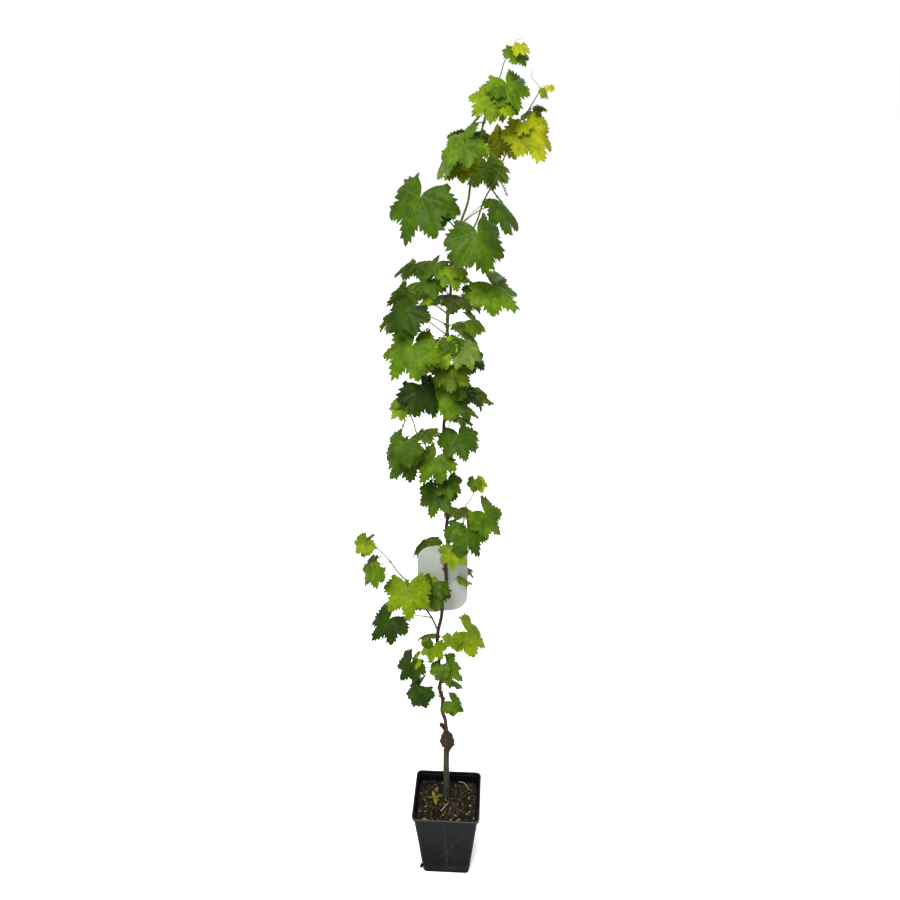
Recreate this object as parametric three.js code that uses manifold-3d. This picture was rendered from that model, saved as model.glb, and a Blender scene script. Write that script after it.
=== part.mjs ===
// Potted grapevine: a young grafted vine in a square nursery pot.
// Millimetres, +Z up. The origin is the centre of the pot's flat underside.
import * as THREE from 'three';
import { mergeVertices } from 'three/addons/utils/BufferGeometryUtils.js';
import Module from 'manifold-3d';

const wasm = await Module();
wasm.setup();

// ---------------------------------------------------------------- driving dimensions
const POT_HEIGHT = 188;        // pot, underside to rim
const POT_RIM = 153;           // square rim, outside
const POT_NECK = 144;          // square wall just under the rim band
const POT_FOOT = 107;          // square foot
const POT_CORNER = 0.075;      // corner radius as a share of the side
const POT_RIM_BAND = 9;        // height of the rim band
const POT_WALL = 2;            // wall thickness
const POT_FLOOR = 3;           // floor thickness
const POT_TURN = -3.3;         // degrees the pot is turned about Z
const SOIL_LEVEL = 167;        // flat top of the soil where the stock stands
const GAP = 0.35;              // clearance between touching pieces
const LABEL_WIDTH = 104;       // hanging label
const LABEL_HEIGHT = 159;
const LABEL_CORNER = 30;
const LABEL_THICK = 1.2;
const LABEL_CENTRE = [-8.2, 13.4, 771.3];
const LABEL_TURN = 8.5;        // degrees the label is turned about Z, its right side away
const STRAP_SHARE = 0.55;       // where the strap leaves the middle stem
const LABEL_STRAP = [-7, 12.6, 842];   // where it meets the label's top
const STRAP_RADIUS = 1.6;
const BLADE_THICK = 1.6;       // leaf blade solids: this plus a share of the length
const BLADE_THICK_SHARE = 0.028;
const STALK_RADIUS = 1.3;      // leaf stalk inside a mass
const SPINE_BACK = 10;         // the far masses' stalks meet this far behind the stem

// ---------------------------------------------------------------- colours
const COLOUR = { wood: 0x4b504a, graft: 0x3c2a2a, cane: 0x4a2226, green: 0x5c6b24, leaf: 0x4f7a1c, yellow: 0x98a41a, pale: 0x9fb377, pot: 0x23282d, soil: 0x2b2117, label: 0xc4c4c1 };
const material = (colour, roughness = 0.7) => new THREE.MeshStandardMaterial({ color: colour, roughness, metalness: 0 });

// limbs: what each grows from (a point, or a share of another limb), length, turn and lift of its line,
// bow of its middle, sideways kink at each joint, joints, radius at foot and tip
const LIMBS = {
  rootstock: { from: [-1.5, 22, 167.3], length: 139, turn: -92, lift: 87, bow: [0, 0], kink: 0.4, joints: 3, radius: [7.4, 6.5], sides: 10, colour: 'wood', flare: 0.35 },
  graft_union: { from: ["rootstock", 1], length: 64, turn: -100, lift: 86, bow: [3, 1], kink: 0, joints: 4, radius: [0, 0], sides: 10, colour: 'graft', swell: 0, radii: [6.8, 10, 13.8, 11, 4.8] },
  stem_lower: { from: ["graft_union", 1], length: 282, turn: -145, lift: 86, bow: [-4, -2], kink: 2.2, joints: 9, radius: [4.1, 3.8], sides: 6, colour: 'cane' },
  stem_middle: { from: ["stem_lower", 1], length: 361, turn: 0, lift: 88, bow: [13, 0], kink: 2.0, joints: 9, radius: [3.8, 3.4], sides: 6, colour: 'cane' },
  stem_upper: { from: ["stem_middle", 1], length: 419, turn: 0, lift: 88, bow: [-2, 0], kink: 1.6, joints: 8, radius: [3.3, 2.5], sides: 6, colour: 'cane' },
  stem_top: { from: ["stem_upper", 1], length: 248, turn: -6, lift: 77, bow: [3, 0], kink: 1.5, joints: 7, radius: [2.3, 1.4], sides: 5, colour: 'green' },
  tip_fork_right: { from: ["stem_top", 1], length: 108, turn: -19, lift: 67, bow: [-4, 2], kink: 2.0, joints: 5, radius: [1.2, 0.7], sides: 5, colour: 'green' },
  tip_fork_left: { from: ["stem_top", 1], length: 46, turn: 27, lift: 73, bow: [0, 0], kink: 0.8, joints: 3, radius: [1.2, 0.8], sides: 5, colour: 'green' },
  second_leader: { from: ["stem_upper", 0.91], length: 350, turn: 8, lift: 65, bow: [-7, 4], kink: 1.6, joints: 9, radius: [1.9, 0.8], sides: 5, colour: 'green' },
  side_shoot_top: { from: ["stem_top", 0.5], length: 76, turn: -74, lift: 76, bow: [0, 0], kink: 0.8, joints: 3, radius: [0.9, 0.7], sides: 5, colour: 'green' },
  shoot_low_left: { from: ["stem_middle", 0.0], length: 282, turn: -156, lift: 61, bow: [10, 5], kink: 2.0, joints: 6, radius: [2.2, 1.0], sides: 5, colour: 'green' },
  shoot_right: { from: ["stem_middle", 0.45], length: 190, turn: 20, lift: 71, bow: [2, 3], kink: 4.0, joints: 6, radius: [1.8, 0.8], sides: 5, colour: 'green' },
  shoot_middle_left: { from: ["stem_upper", 0.0], length: 179, turn: -149, lift: 64, bow: [-3, 0], kink: 2.2, joints: 6, radius: [1.9, 1.0], sides: 5, colour: 'green' },
};

// foliage masses: limb, first and last share, turn and lift of the stalks, reach, blade length, leaves, droop
const MASSES = {
  tip_right: ['tip_fork_right', 1, 1, -35, -10, 8, 30, 1, 55],
  crown_right: ['tip_fork_right', 0.3, 0.5, -60, 0, 18, 58, 2, 52],
  crown_left: ['stem_top', 0.7, 0.95, -150, 0, 22, 42, 3, 45],
  crown_back: ['second_leader', 0.7, 0.7, 110, 35, 44, 58, 1, 60],
  crown_pale: ['side_shoot_top', 0.9, 1, -150, 12, 38, 56, 2, 48],
  leader_low: ['second_leader', 0.9, 0.9, 70, -15, 16, 26, 1, 30],
  leader_bud: ['second_leader', 1, 1, -40, 0, 8, 17, 1, 60],
  leader_leaf: ['second_leader', 0.8, 0.8, -50, 5, 22, 62, 1, 60],
  side_left: ['stem_top', 0.22, 0.22, -160, 38, 100, 84, 1, 62],
  right_upper: ['stem_top', 0.12, 0.28, -25, 30, 82, 72, 2, 50],
  right_lower: ['stem_upper', 0.82, 0.82, -20, 30, 80, 66, 1, 45],
  tangle: ['stem_upper', 0.92, 1, -125, 10, 32, 42, 3, 35],
  left_middle: ['stem_upper', 0.68, 0.78, -165, 24, 95, 64, 3, 48],
  left_big: ['stem_upper', 0.66, 0.66, -140, 10, 95, 70, 1, 50],
  front_a: ['stem_upper', 0.64, 0.64, -115, 10, 52, 52, 1, 55],
  front_b: ['stem_upper', 0.54, 0.56, -50, 25, 52, 52, 2, 40],
  right_pale: ['stem_upper', 0.64, 0.72, -15, 5, 45, 44, 2, 30],
  left_dark: ['shoot_middle_left', 0.9, 0.9, -40, 68, 75, 64, 1, 55],
  front_c: ['stem_upper', 0.45, 0.45, -100, 20, 34, 68, 1, 60],
  right_dark: ['stem_upper', 0.4, 0.4, -30, 25, 40, 44, 1, 25],
  left_tip: ['shoot_middle_left', 1, 1, -150, 50, 10, 36, 1, 35],
  front_d: ['stem_upper', 0.1, 0.2, -80, 30, 45, 60, 2, 35],
  midleft_leaf: ['shoot_middle_left', 0.25, 0.5, -158, 22, 56, 62, 2, 48],
  front_f: ['stem_middle', 0.88, 0.97, -100, 35, 32, 50, 2, 45],
  right_tip: ['shoot_right', 1, 1, -50, 30, 6, 28, 1, 50],
  right_leaf: ['shoot_right', 0.45, 0.55, -45, 25, 45, 68, 2, 55],
  front_h: ['shoot_right', 0.15, 0.15, -80, 35, 44, 38, 1, 55],
  lowleft_tip: ['shoot_low_left', 0.95, 1, -150, 30, 20, 36, 2, 45],
  lowleft_edge: ['shoot_low_left', 0.78, 0.78, -160, -5, 34, 44, 1, 50],
  lowleft_leaf: ['shoot_low_left', 0.42, 0.42, -100, 45, 58, 66, 1, 58],
  front_dark: ['stem_middle', 0.3, 0.3, -150, 25, 34, 60, 1, 45],
  lowleft_side: ['shoot_low_left', 0.14, 0.14, -160, 15, 96, 58, 1, 50],
  low_right: ['stem_lower', 0.94, 0.94, 2, 8, 66, 58, 1, 48],
  low_front: ['stem_lower', 0.88, 0.88, -115, 20, 16, 36, 1, 50],
  low_left: ['stem_lower', 0.7, 0.7, -170, 18, 62, 48, 1, 55],
  low_middle: ['stem_lower', 0.68, 0.68, -30, 15, 28, 44, 1, 52],
  low_left_b: ['stem_lower', 0.34, 0.46, -165, 18, 60, 52, 2, 52],
  low_right_b: ['stem_lower', 0.3, 0.3, 8, 10, 20, 36, 1, 45],
  back_low: ['stem_lower', 0.4, 0.8, 90, 15, 48, 40, 2, 50],
  back_lower_middle: ['stem_middle', 0.25, 0.6, 95, 25, 78, 56, 3, 50],
  back_middle: ['stem_upper', 0.03, 0.2, 90, 18, 84, 56, 3, 50],
  back_upper_middle: ['stem_upper', 0.32, 0.62, 90, 20, 80, 54, 3, 50],
  back_upper: ['stem_upper', 0.76, 0.95, 95, 18, 88, 56, 3, 48],
  back_crown: ['stem_top', 0.55, 0.95, 85, 30, 55, 56, 3, 50],
};
const HANGING_FOLD = 14;        // degrees each half blade is folded down
const HANGING_WIDTH = 0.8;      // half width over length
const SPREAD = 34;              // degrees the leaves of a mass stand apart, turn about
const LIGHT_PULL = 1.0;        // how far a blade turns its face to the open side

// ---------------------------------------------------------------- helpers
const rad = THREE.MathUtils.degToRad;
const vec = (x, y, z) => new THREE.Vector3(x, y, z);

// seeded numbers between 0 and 1
function dice(seed) {
  let a = seed >>> 0;
  return () => {
    a = (a + 0x6d2b79f5) >>> 0;
    let t = Math.imul(a ^ (a >>> 15), 1 | a) >>> 0;
    t = (((t + Math.imul(t ^ (t >>> 7), 61 | t)) >>> 0) ^ t) >>> 0;
    return ((t ^ (t >>> 14)) >>> 0) / 4294967296;
  };
}

// each limb's joints, bowed and kinked from side to side
const SHOOTS = {};
function along(name, share) {
  const pts = SHOOTS[name].nodes.map((p) => vec(...p));
  const lens = pts.slice(1).map((p, i) => p.distanceTo(pts[i]));
  let x = share * lens.reduce((a, b) => a + b, 0);
  for (let i = 0; i < lens.length; i++) {
    if (x <= lens[i] || i === lens.length - 1) return pts[i].clone().lerp(pts[i + 1], Math.min(1, x / lens[i]));
    x -= lens[i];
  }
}
for (const [name, s] of Object.entries(LIMBS)) {
  const foot = s.from.length === 3 ? vec(...s.from) : along(...s.from);
  const c = Math.cos(rad(s.lift));
  const nodes = [];
  for (let i = 0; i <= s.joints; i++) {
    const t = i / s.joints, bend = Math.sin(Math.PI * t);
    const kink = i > 0 && i < s.joints ? (i % 2 ? s.kink : -s.kink) : 0;
    nodes.push([
      foot.x + s.length * t * c * Math.cos(rad(s.turn)) + s.bow[0] * bend + kink,
      foot.y + s.length * t * c * Math.sin(rad(s.turn)) + s.bow[1] * bend,
      foot.z + s.length * t * Math.sin(rad(s.lift))]);
  }
  SHOOTS[name] = { ...s, nodes };
}


// closed solid from vertices and triangle indices, faces turned outwards
function closed(vertices, faces) {
  let volume = 0;
  for (const [a, b, c] of faces) volume += vertices[a].dot(vec(0, 0, 0).crossVectors(vertices[b], vertices[c]));
  const index = volume < 0 ? faces.map(([a, b, c]) => [a, c, b]) : faces;
  const geometry = new THREE.BufferGeometry();
  geometry.setAttribute('position', new THREE.Float32BufferAttribute(vertices.flatMap((v) => [v.x, v.y, v.z]), 3));
  geometry.setIndex(index.flat());
  return geometry;
}

// loft through rings of equal count, closed by a flat or domed fan at both ends
function loft(rings) {
  const n = rings[0].length;
  const vertices = rings.flat();
  const faces = [];
  for (let k = 0; k + 1 < rings.length; k++) {
    for (let i = 0; i < n; i++) {
      const j = (i + 1) % n;
      faces.push([k * n + i, k * n + j, (k + 1) * n + j], [k * n + i, (k + 1) * n + j, (k + 1) * n + i]);
    }
  }
  for (let i = 1; i + 1 < n; i++) {
    faces.push([0, i + 1, i]);
    const top = (rings.length - 1) * n;
    faces.push([top, top + i, top + i + 1]);
  }
  return closed(vertices, faces);
}

// a limb: a tapering tube along its nodes, thickened a little at each node, ends cut square
function limb(nodes, r0, r1, sides, { grow = 0, swell = 0.12, flare = 0, radii = null, flatFoot = false, trim = GAP } = {}) {
  const points = nodes.map((p) => vec(...p));
  const dirs = points.map((p, i) => {
    const a = points[Math.max(0, i - 1)], b = points[Math.min(points.length - 1, i + 1)];
    return vec(0, 0, 0).subVectors(b, a).normalize();
  });
  if (flatFoot) dirs[0] = vec(0, 0, 1);
  points[0].addScaledVector(dirs[0], grow ? -grow : trim / 2);
  points[points.length - 1].addScaledVector(dirs[points.length - 1], grow ? grow : -trim / 2);
  const rings = [];
  let side = vec(1, 0, 0);
  points.forEach((p, i) => {
    const t = i / (points.length - 1);
    const d = dirs[i];
    side = side.clone().addScaledVector(d, -side.dot(d)).normalize();
    const up = vec(0, 0, 0).crossVectors(d, side);
    const swollen = i > 0 && i < points.length - 1 && i % 2 === 0 ? 1 + swell : 1;
    const base = radii ? radii[i] : r0 + (r1 - r0) * t;
    const r = base * swollen * (1 + flare * Math.max(0, 1 - t * 3)) + grow;
    const ring = [];
    for (let k = 0; k < sides; k++) {
      const a = (k / sides) * Math.PI * 2;
      ring.push(p.clone().addScaledVector(side, r * Math.cos(a)).addScaledVector(up, r * Math.sin(a)));
    }
    rings.push(ring);
  });
  return loft(rings);
}

// half outline of a five-lobed vine leaf: share of the length from the stalk to the tip, share of the half width
const HALF_LEAF = [[1, 0], [0.58, 0.36], [0.6, 0.86], [0, 1], [-0.34, 0.44]];
const HALF_SMALL_LEAF = [[1, 0], [0.42, 0.92], [-0.28, 0.6]];
const SMALL_LEAF = 40;         // blades shorter than this take the plainer outline
const LEAF_CENTRE = 0.16;
const LEAF_NOTCH = 0.06;
const MIN_FOLD = 84;

function leafAxes(leaf) {
  const az = rad(leaf.az), el = rad(leaf.el);
  const along = vec(Math.cos(el) * Math.cos(az), Math.cos(el) * Math.sin(az), Math.sin(el));
  const ref = Math.abs(along.y) > 0.95 ? vec(0, 0, 1) : vec(0, 1, 0);
  const h = vec(0, 0, 0).crossVectors(along, ref).normalize();
  const v = vec(0, 0, 0).crossVectors(h, along);
  const half = (deg) => h.clone().multiplyScalar(Math.cos(rad(deg))).addScaledVector(v, Math.sin(rad(deg)));
  // a blade folded nearly shut is opened to MIN_FOLD so that its two halves stay clear of each other
  const right = half(leaf.right), left = half(leaf.left);
  const between = right.angleTo(left);
  if (between < rad(MIN_FOLD)) {
    const mid = vec(0, 0, 0).addVectors(right, left).normalize();
    const out = vec(0, 0, 0).subVectors(right, left).normalize();
    const c = Math.cos(rad(MIN_FOLD / 2)), d = Math.sin(rad(MIN_FOLD / 2));
    return { along, right: mid.clone().multiplyScalar(c).addScaledVector(out, d), left: mid.clone().multiplyScalar(c).addScaledVector(out, -d) };
  }
  return { along, right, left };
}

// one leaf blade: two halves meeting on the midrib, each a lobed plate of even thickness
function blade(leaf, grow = 0) {
  const { along, right, left } = leafAxes(leaf);
  const nr = vec(0, 0, 0).crossVectors(along, right).normalize();
  const nl = vec(0, 0, 0).crossVectors(left, along).normalize();
  const nm = vec(0, 0, 0).addVectors(nr, nl).normalize();
  const miter = Math.min(2.2, 1 / Math.max(0.2, nm.dot(nr)));
  const thick = BLADE_THICK + BLADE_THICK_SHARE * leaf.len + 2 * grow;
  const k = 1 + (grow * 2.6) / leaf.len;
  const place = (s, t, dir) => vec(...leaf.at)
    .addScaledVector(along, (LEAF_CENTRE + (s - LEAF_CENTRE) * k) * leaf.len)
    .addScaledVector(dir, t * k * leaf.wid);
  const rim = [];
  const half = leaf.len < SMALL_LEAF || leaf.spine ? HALF_SMALL_LEAF : HALF_LEAF;
  half.forEach(([s, t]) => rim.push({ p: place(s, t, right), n: t ? nr : nm, m: t ? 1 : miter }));
  rim.push({ p: place(LEAF_NOTCH, 0, right), n: nm, m: miter });
  half.slice(1).reverse().forEach(([s, t]) => rim.push({ p: place(s, t, left), n: nl, m: 1 }));
  const centre = { p: place(LEAF_CENTRE, 0, right), n: nm, m: miter * 1.15 };
  const all = [...rim, centre];
  const n = rim.length;
  const vertices = [
    ...all.map((q) => q.p.clone().addScaledVector(q.n, (thick / 2) * q.m)),
    ...all.map((q) => q.p.clone().addScaledVector(q.n, (-thick / 2) * q.m)),
  ];
  const faces = [];
  for (let i = 0; i < n; i++) {
    const j = (i + 1) % n;
    faces.push([n, i, j]);
    faces.push([2 * n + 1, n + 1 + j, n + 1 + i]);
    faces.push([i, n + 1 + i, n + 1 + j], [i, n + 1 + j, j]);
  }
  return closed(vertices, faces);
}

// a straight three-sided bar between two points, for leaf stalks
function bar(a, b, r) {
  const d = vec(0, 0, 0).subVectors(b, a).normalize();
  let side = vec(0, 0, 1).addScaledVector(d, -d.z);
  if (side.length() < 0.1) side = vec(1, 0, 0).addScaledVector(d, -d.x);
  side.normalize();
  const up = vec(0, 0, 0).crossVectors(d, side);
  const ring = (p) => [0, 1, 2].map((k) => p.clone()
    .addScaledVector(side, r * Math.cos((k * 2 * Math.PI) / 3))
    .addScaledVector(up, r * Math.sin((k * 2 * Math.PI) / 3)));
  return loft([ring(a), ring(b)]);
}

function solid(geometry) {
  let g = geometry.index ? geometry : mergeVertices(geometry);
  if (g.attributes.normal || g.attributes.uv) {
    g = geometry.clone();
    g.deleteAttribute('normal');
    g.deleteAttribute('uv');
    g = mergeVertices(g, 1e-4);
  }
  return new wasm.Manifold(new wasm.Mesh({
    numProp: 3,
    vertProperties: new Float32Array(g.attributes.position.array),
    triVerts: new Uint32Array(g.index.array),
  }));
}

// joined or cut solid as a geometry, with vertices nearer than WELD drawn together and the faces that collapse dropped
const WELD = [0.004, 0.008, 0.015, 0.03, 0.06, 0.1];
function geometryOf(manifold) {
  const mesh = manifold.getMesh();
  const count = mesh.vertProperties.length / 3;
  const p = mesh.vertProperties;
  for (const reach of WELD) {
    const owner = Array.from({ length: count }, (_, i) => i);
    const find = (i) => (owner[i] === i ? i : (owner[i] = find(owner[i])));
    for (let i = 0; i < count; i++) {
      for (let j = i + 1; j < count; j++) {
        if (Math.hypot(p[3 * i] - p[3 * j], p[3 * i + 1] - p[3 * j + 1], p[3 * i + 2] - p[3 * j + 2]) < reach) owner[find(i)] = find(j);
      }
    }
    const faces = [];
    const seen = new Map();
    for (let k = 0; k < mesh.triVerts.length; k += 3) {
      const f = [0, 1, 2].map((q) => find(mesh.triVerts[k + q]));
      if (f[0] === f[1] || f[1] === f[2] || f[0] === f[2]) continue;
      const key = [...f].sort((x, y) => x - y).join();
      if (seen.has(key)) { faces[seen.get(key)] = null; seen.delete(key); continue; }
      seen.set(key, faces.length);
      faces.push(f);
    }
    const kept = faces.filter(Boolean);
    const edges = new Map();
    kept.forEach(([x, y, z]) => [[x, y], [y, z], [z, x]].forEach(([m, n]) => edges.set(m + '_' + n, (edges.get(m + '_' + n) ?? 0) + 1)));
    const even = [...edges].every(([e, c]) => c === 1 && edges.get(e.split('_').reverse().join('_')) === 1);
    const number = new Map();
    const out = [];
    const index = kept.flat().map((v) => {
      if (!number.has(v)) { number.set(v, number.size); out.push(p[3 * v], p[3 * v + 1], p[3 * v + 2]); }
      return number.get(v);
    });
    const geometry = new THREE.BufferGeometry();
    geometry.setAttribute('position', new THREE.Float32BufferAttribute(new Float32Array(out), 3));
    geometry.setIndex(index);
    if (even) return geometry;
  }
  return null;
}

const boxOf = (m) => m.boundingBox();
const near = (a, b) => [0, 1, 2].every((i) => a.min[i] < b.max[i] + 0.5 && b.min[i] < a.max[i] + 0.5);

function largest(manifold) {
  const parts = manifold.decompose();
  return parts.reduce((best, m) => (m.volume() > best.volume() ? m : best), parts[0]);
}

const group = new THREE.Group();
const add = (name, geometry, colour, roughness) => {
  const mesh = new THREE.Mesh(geometry, material(colour, roughness));
  mesh.name = name;
  group.add(mesh);
};

// ---------------------------------------------------------------- pot and soil
function squareRing(side, z, steps = 2) {
  const r = side * POT_CORNER, h = side / 2 - r;
  const ring = [];
  [[1, 1], [-1, 1], [-1, -1], [1, -1]].forEach(([sx, sy], q) => {
    for (let k = 0; k <= steps; k++) {
      const a = rad(q * 90 + (k / steps) * 90);
      ring.push(vec(sx * h + r * Math.cos(a), sy * h + r * Math.sin(a), z).applyAxisAngle(vec(0, 0, 1), rad(POT_TURN)));
    }
  });
  return ring;
}
const wallSide = (z) => POT_FOOT + ((POT_NECK - POT_FOOT) * z) / (POT_HEIGHT - POT_RIM_BAND);
const bandZ = POT_HEIGHT - POT_RIM_BAND;
const potOutside = solid(loft([squareRing(POT_FOOT, 0), squareRing(POT_NECK, bandZ), squareRing(POT_RIM - 2, bandZ + 1.5), squareRing(POT_RIM, POT_HEIGHT)]));
const potInside = solid(loft([
  squareRing(wallSide(POT_FLOOR) - 2 * POT_WALL, POT_FLOOR),
  squareRing(wallSide(bandZ) - 2 * POT_WALL, bandZ),
  squareRing(POT_RIM - 2 - 2 * POT_WALL, bandZ + 3),
  squareRing(POT_RIM - 2 * POT_WALL, POT_HEIGHT + 2),
]));
add('pot', geometryOf(potOutside.subtract(potInside)), COLOUR.pot, 0.45);

const soilSide = (z) => wallSide(z) - 2 * POT_WALL - 2 * GAP;
const soilRings = [squareRing(soilSide(POT_FLOOR + GAP), POT_FLOOR + GAP), squareRing(soilSide(SOIL_LEVEL - 5), SOIL_LEVEL - 5)];
[[0.8, 3.2], [0.45, 2.2], [0.28, 0]].forEach(([share, lift], i) => {
  soilRings.push(squareRing(soilSide(SOIL_LEVEL) * share, SOIL_LEVEL).map((p, k) => vec(p.x, p.y + (i > 0 ? 22 * (1 - share) : 0), SOIL_LEVEL - (i === 2 ? 0 : lift) + (i < 2 ? 1.6 * Math.sin(k * 2.4 + i) : 0))));
});
add('soil', loft(soilRings), COLOUR.soil, 0.95);

// ---------------------------------------------------------------- stems and shoots
const limbOptions = (name) => ({ swell: SHOOTS[name].swell ?? 0.12, flare: SHOOTS[name].flare ?? 0, radii: SHOOTS[name].radii ?? null, flatFoot: name === 'rootstock' });
const keepOut = [];           // grown solids that everything later is cut round
for (const name of Object.keys(SHOOTS)) {
  const s = SHOOTS[name];
  let m = solid(limb(s.nodes, s.radius[0], s.radius[1], s.sides, limbOptions(name)));
  for (const k of keepOut) if (near(boxOf(k.m), boxOf(m))) m = largest(m.subtract(k.m));
  add(name, geometryOf(m), COLOUR[s.colour], 0.6);
  const grown = solid(limb(s.nodes, s.radius[0], s.radius[1], s.sides, { ...limbOptions(name), grow: GAP }));
  keepOut.push({ m: grown });
}

// ---------------------------------------------------------------- hanging label
{
  const shape = new THREE.Shape();
  const w = LABEL_WIDTH / 2, h = LABEL_HEIGHT / 2, c = LABEL_CORNER;
  const corners = [[w - c, h - c, 0], [-w + c, h - c, 90], [-w + c, -h + c, 180], [w - c, -h + c, 270]];
  corners.forEach(([x, y, a0], q) => {
    for (let k = 0; k <= 4; k++) {
      const a = rad(a0 + k * 22.5);
      const p = [x + c * Math.cos(a), y + c * Math.sin(a)];
      q === 0 && k === 0 ? shape.moveTo(...p) : shape.lineTo(...p);
    }
  });
  const g = new THREE.ExtrudeGeometry(shape, { depth: LABEL_THICK, bevelEnabled: false });
  g.rotateX(rad(90));
  g.rotateZ(rad(LABEL_TURN));
  g.translate(...LABEL_CENTRE);
  const strapTop = along('stem_middle', STRAP_SHARE).add(vec(0, 5, 0)), strapFoot = vec(...LABEL_STRAP);
  let m = solid(g).add(solid(bar(strapTop, strapFoot, STRAP_RADIUS)));
  for (const k of keepOut) if (near(boxOf(k.m), boxOf(m))) m = largest(m.subtract(k.m));
  add('label', geometryOf(m), COLOUR.label, 0.5);
  keepOut.push({ m: solid(new THREE.ExtrudeGeometry(shape, { depth: LABEL_THICK + 2 * GAP, bevelEnabled: false }).rotateX(rad(90)).translate(0, GAP, 0).rotateZ(rad(LABEL_TURN)).translate(...LABEL_CENTRE)) });
  keepOut.push({ m: solid(bar(strapTop, strapFoot, STRAP_RADIUS + GAP)) });
}

// ---------------------------------------------------------------- foliage
// one leaf of a mass: its stalk leaves the limb, turn about, and its blade droops with its face pulled to the open side
function leafOf([limb, first, last, turn0, lift0, reach0, len0, count, droop0], k, roll) {
  const share = first + (last - first) * (count > 1 ? k / (count - 1) : 0.5);
  const side = k % 2 ? 1 : -1;
  const turn = turn0 + (count > 1 ? side * SPREAD * (0.6 + 0.6 * roll()) : (roll() - 0.5) * 16);
  const reach = reach0 * (0.85 + 0.3 * roll());
  const len = len0 * (1 - (0.25 * k) / count) * (0.94 + 0.12 * roll());
  const lift = lift0 + (roll() - 0.5) * 14, droop = droop0 + (roll() - 0.5) * 18, swing = (roll() - 0.5) * 50;
  const foot = along(limb, share);
  const out = vec(Math.cos(rad(turn)), Math.sin(rad(turn)), 0);
  const at = foot.clone().addScaledVector(out, reach * Math.cos(rad(lift))).addScaledVector(vec(0, 0, 1), reach * Math.sin(rad(lift)));
  const to = vec(Math.cos(rad(turn + swing)), Math.sin(rad(turn + swing)), 0);
  const dir = to.multiplyScalar(Math.cos(rad(droop))).addScaledVector(vec(0, 0, 1), -Math.sin(rad(droop)));
  const light = vec(0, out.y > 0.3 ? 0.8 : -0.8, 0.6);
  let normal = vec(0, 0, 1).addScaledVector(dir, -dir.z).normalize();
  normal.addScaledVector(light.addScaledVector(dir, -light.dot(dir)), LIGHT_PULL).normalize();
  const across = vec(0, 0, 0).crossVectors(dir, normal).normalize();
  const ref = Math.abs(dir.y) > 0.95 ? vec(0, 0, 1) : vec(0, 1, 0);
  const h = vec(0, 0, 0).crossVectors(dir, ref).normalize();
  const v = vec(0, 0, 0).crossVectors(h, dir);
  const angle = (s) => {
    const d = across.clone().multiplyScalar(s * Math.cos(rad(HANGING_FOLD))).addScaledVector(normal, -Math.sin(rad(HANGING_FOLD)));
    return THREE.MathUtils.radToDeg(Math.atan2(d.dot(v), d.dot(h)));
  };
  const leaf = { shoot: limb, share, at: at.toArray(), len, wid: len * HANGING_WIDTH,
    az: THREE.MathUtils.radToDeg(Math.atan2(dir.y, dir.x)), el: THREE.MathUtils.radToDeg(Math.asin(dir.z)), right: angle(1), left: angle(-1) };
  if (turn0 > 60 && turn0 < 120 && count > 1) leaf.spine = foot.clone().add(vec(0, SPINE_BACK, 0));
  return leaf;
}

const masses = new Map();
Object.entries(MASSES).forEach(([name, sizes], i) => {
  const roll = dice(101 + 17 * i);
  masses.set(name, Array.from({ length: sizes[7] }, (_, k) => leafOf(sizes, k, roll)));
});

const inside = (leaf) => vec(...leaf.at).addScaledVector(leafAxes(leaf).along, LEAF_CENTRE * leaf.len);
for (const [name, leaves] of masses) {
  const build = (grow) => {
    let m = null;
    leaves.forEach((leaf, i) => {
      const inner = inside(leaf);
      let part = solid(blade(leaf, grow));
      const foot = leaf.spine ?? along(leaf.shoot, leaf.share);
      if (i === 0) part = part.add(solid(bar(foot, inner, STALK_RADIUS + grow)));
      if (i > 0 && leaf.spine) {
        // the spine and the stalk each run a little past the point where they meet
        const past = (p, q) => q.clone().addScaledVector(vec(0, 0, 0).subVectors(q, p).normalize(), STALK_RADIUS * 1.2);
        part = part.add(solid(bar(leaves[i - 1].spine, past(leaves[i - 1].spine, foot), STALK_RADIUS + grow)));
        part = part.add(solid(bar(past(inner, foot), inner, STALK_RADIUS + grow)));
      }
      if (i > 0 && !leaf.spine) {
        const mate = leaves.slice(0, i).map(inside).reduce((p, q) => (q.distanceTo(inner) < p.distanceTo(inner) ? q : p));
        part = part.add(solid(bar(inner, mate, STALK_RADIUS + grow)));
      }
      m = m ? m.add(part) : part;
    });
    return m;
  };
  // a mass whose cut faces pinch together along an edge is shifted a few hundredths of a millimetre and cut again
  let m, geometry;
  for (let nudge = 0; nudge < 8 && !geometry; nudge++) {
    m = build(0).translate(0.02 * nudge, 0.05 * nudge, 0.03 * nudge);
    for (const k of keepOut) if (near(boxOf(k.m), boxOf(m))) m = m.subtract(k.m);
    m = largest(m);
    geometry = geometryOf(m);
  }
  add(name, geometry, COLOUR.leaf, 0.6);
  keepOut.push({ m: build(GAP).add(build(GAP * 0.7)).add(build(GAP * 0.3)).add(m) });
}

export default group;
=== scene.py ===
"""Looks of the potted grapevine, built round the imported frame. Metres, +Z up, the frame's own axes."""

import math

import bpy
import numpy as np
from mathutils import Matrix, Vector, noise
from mathutils.geometry import delaunay_2d_cdt


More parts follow.
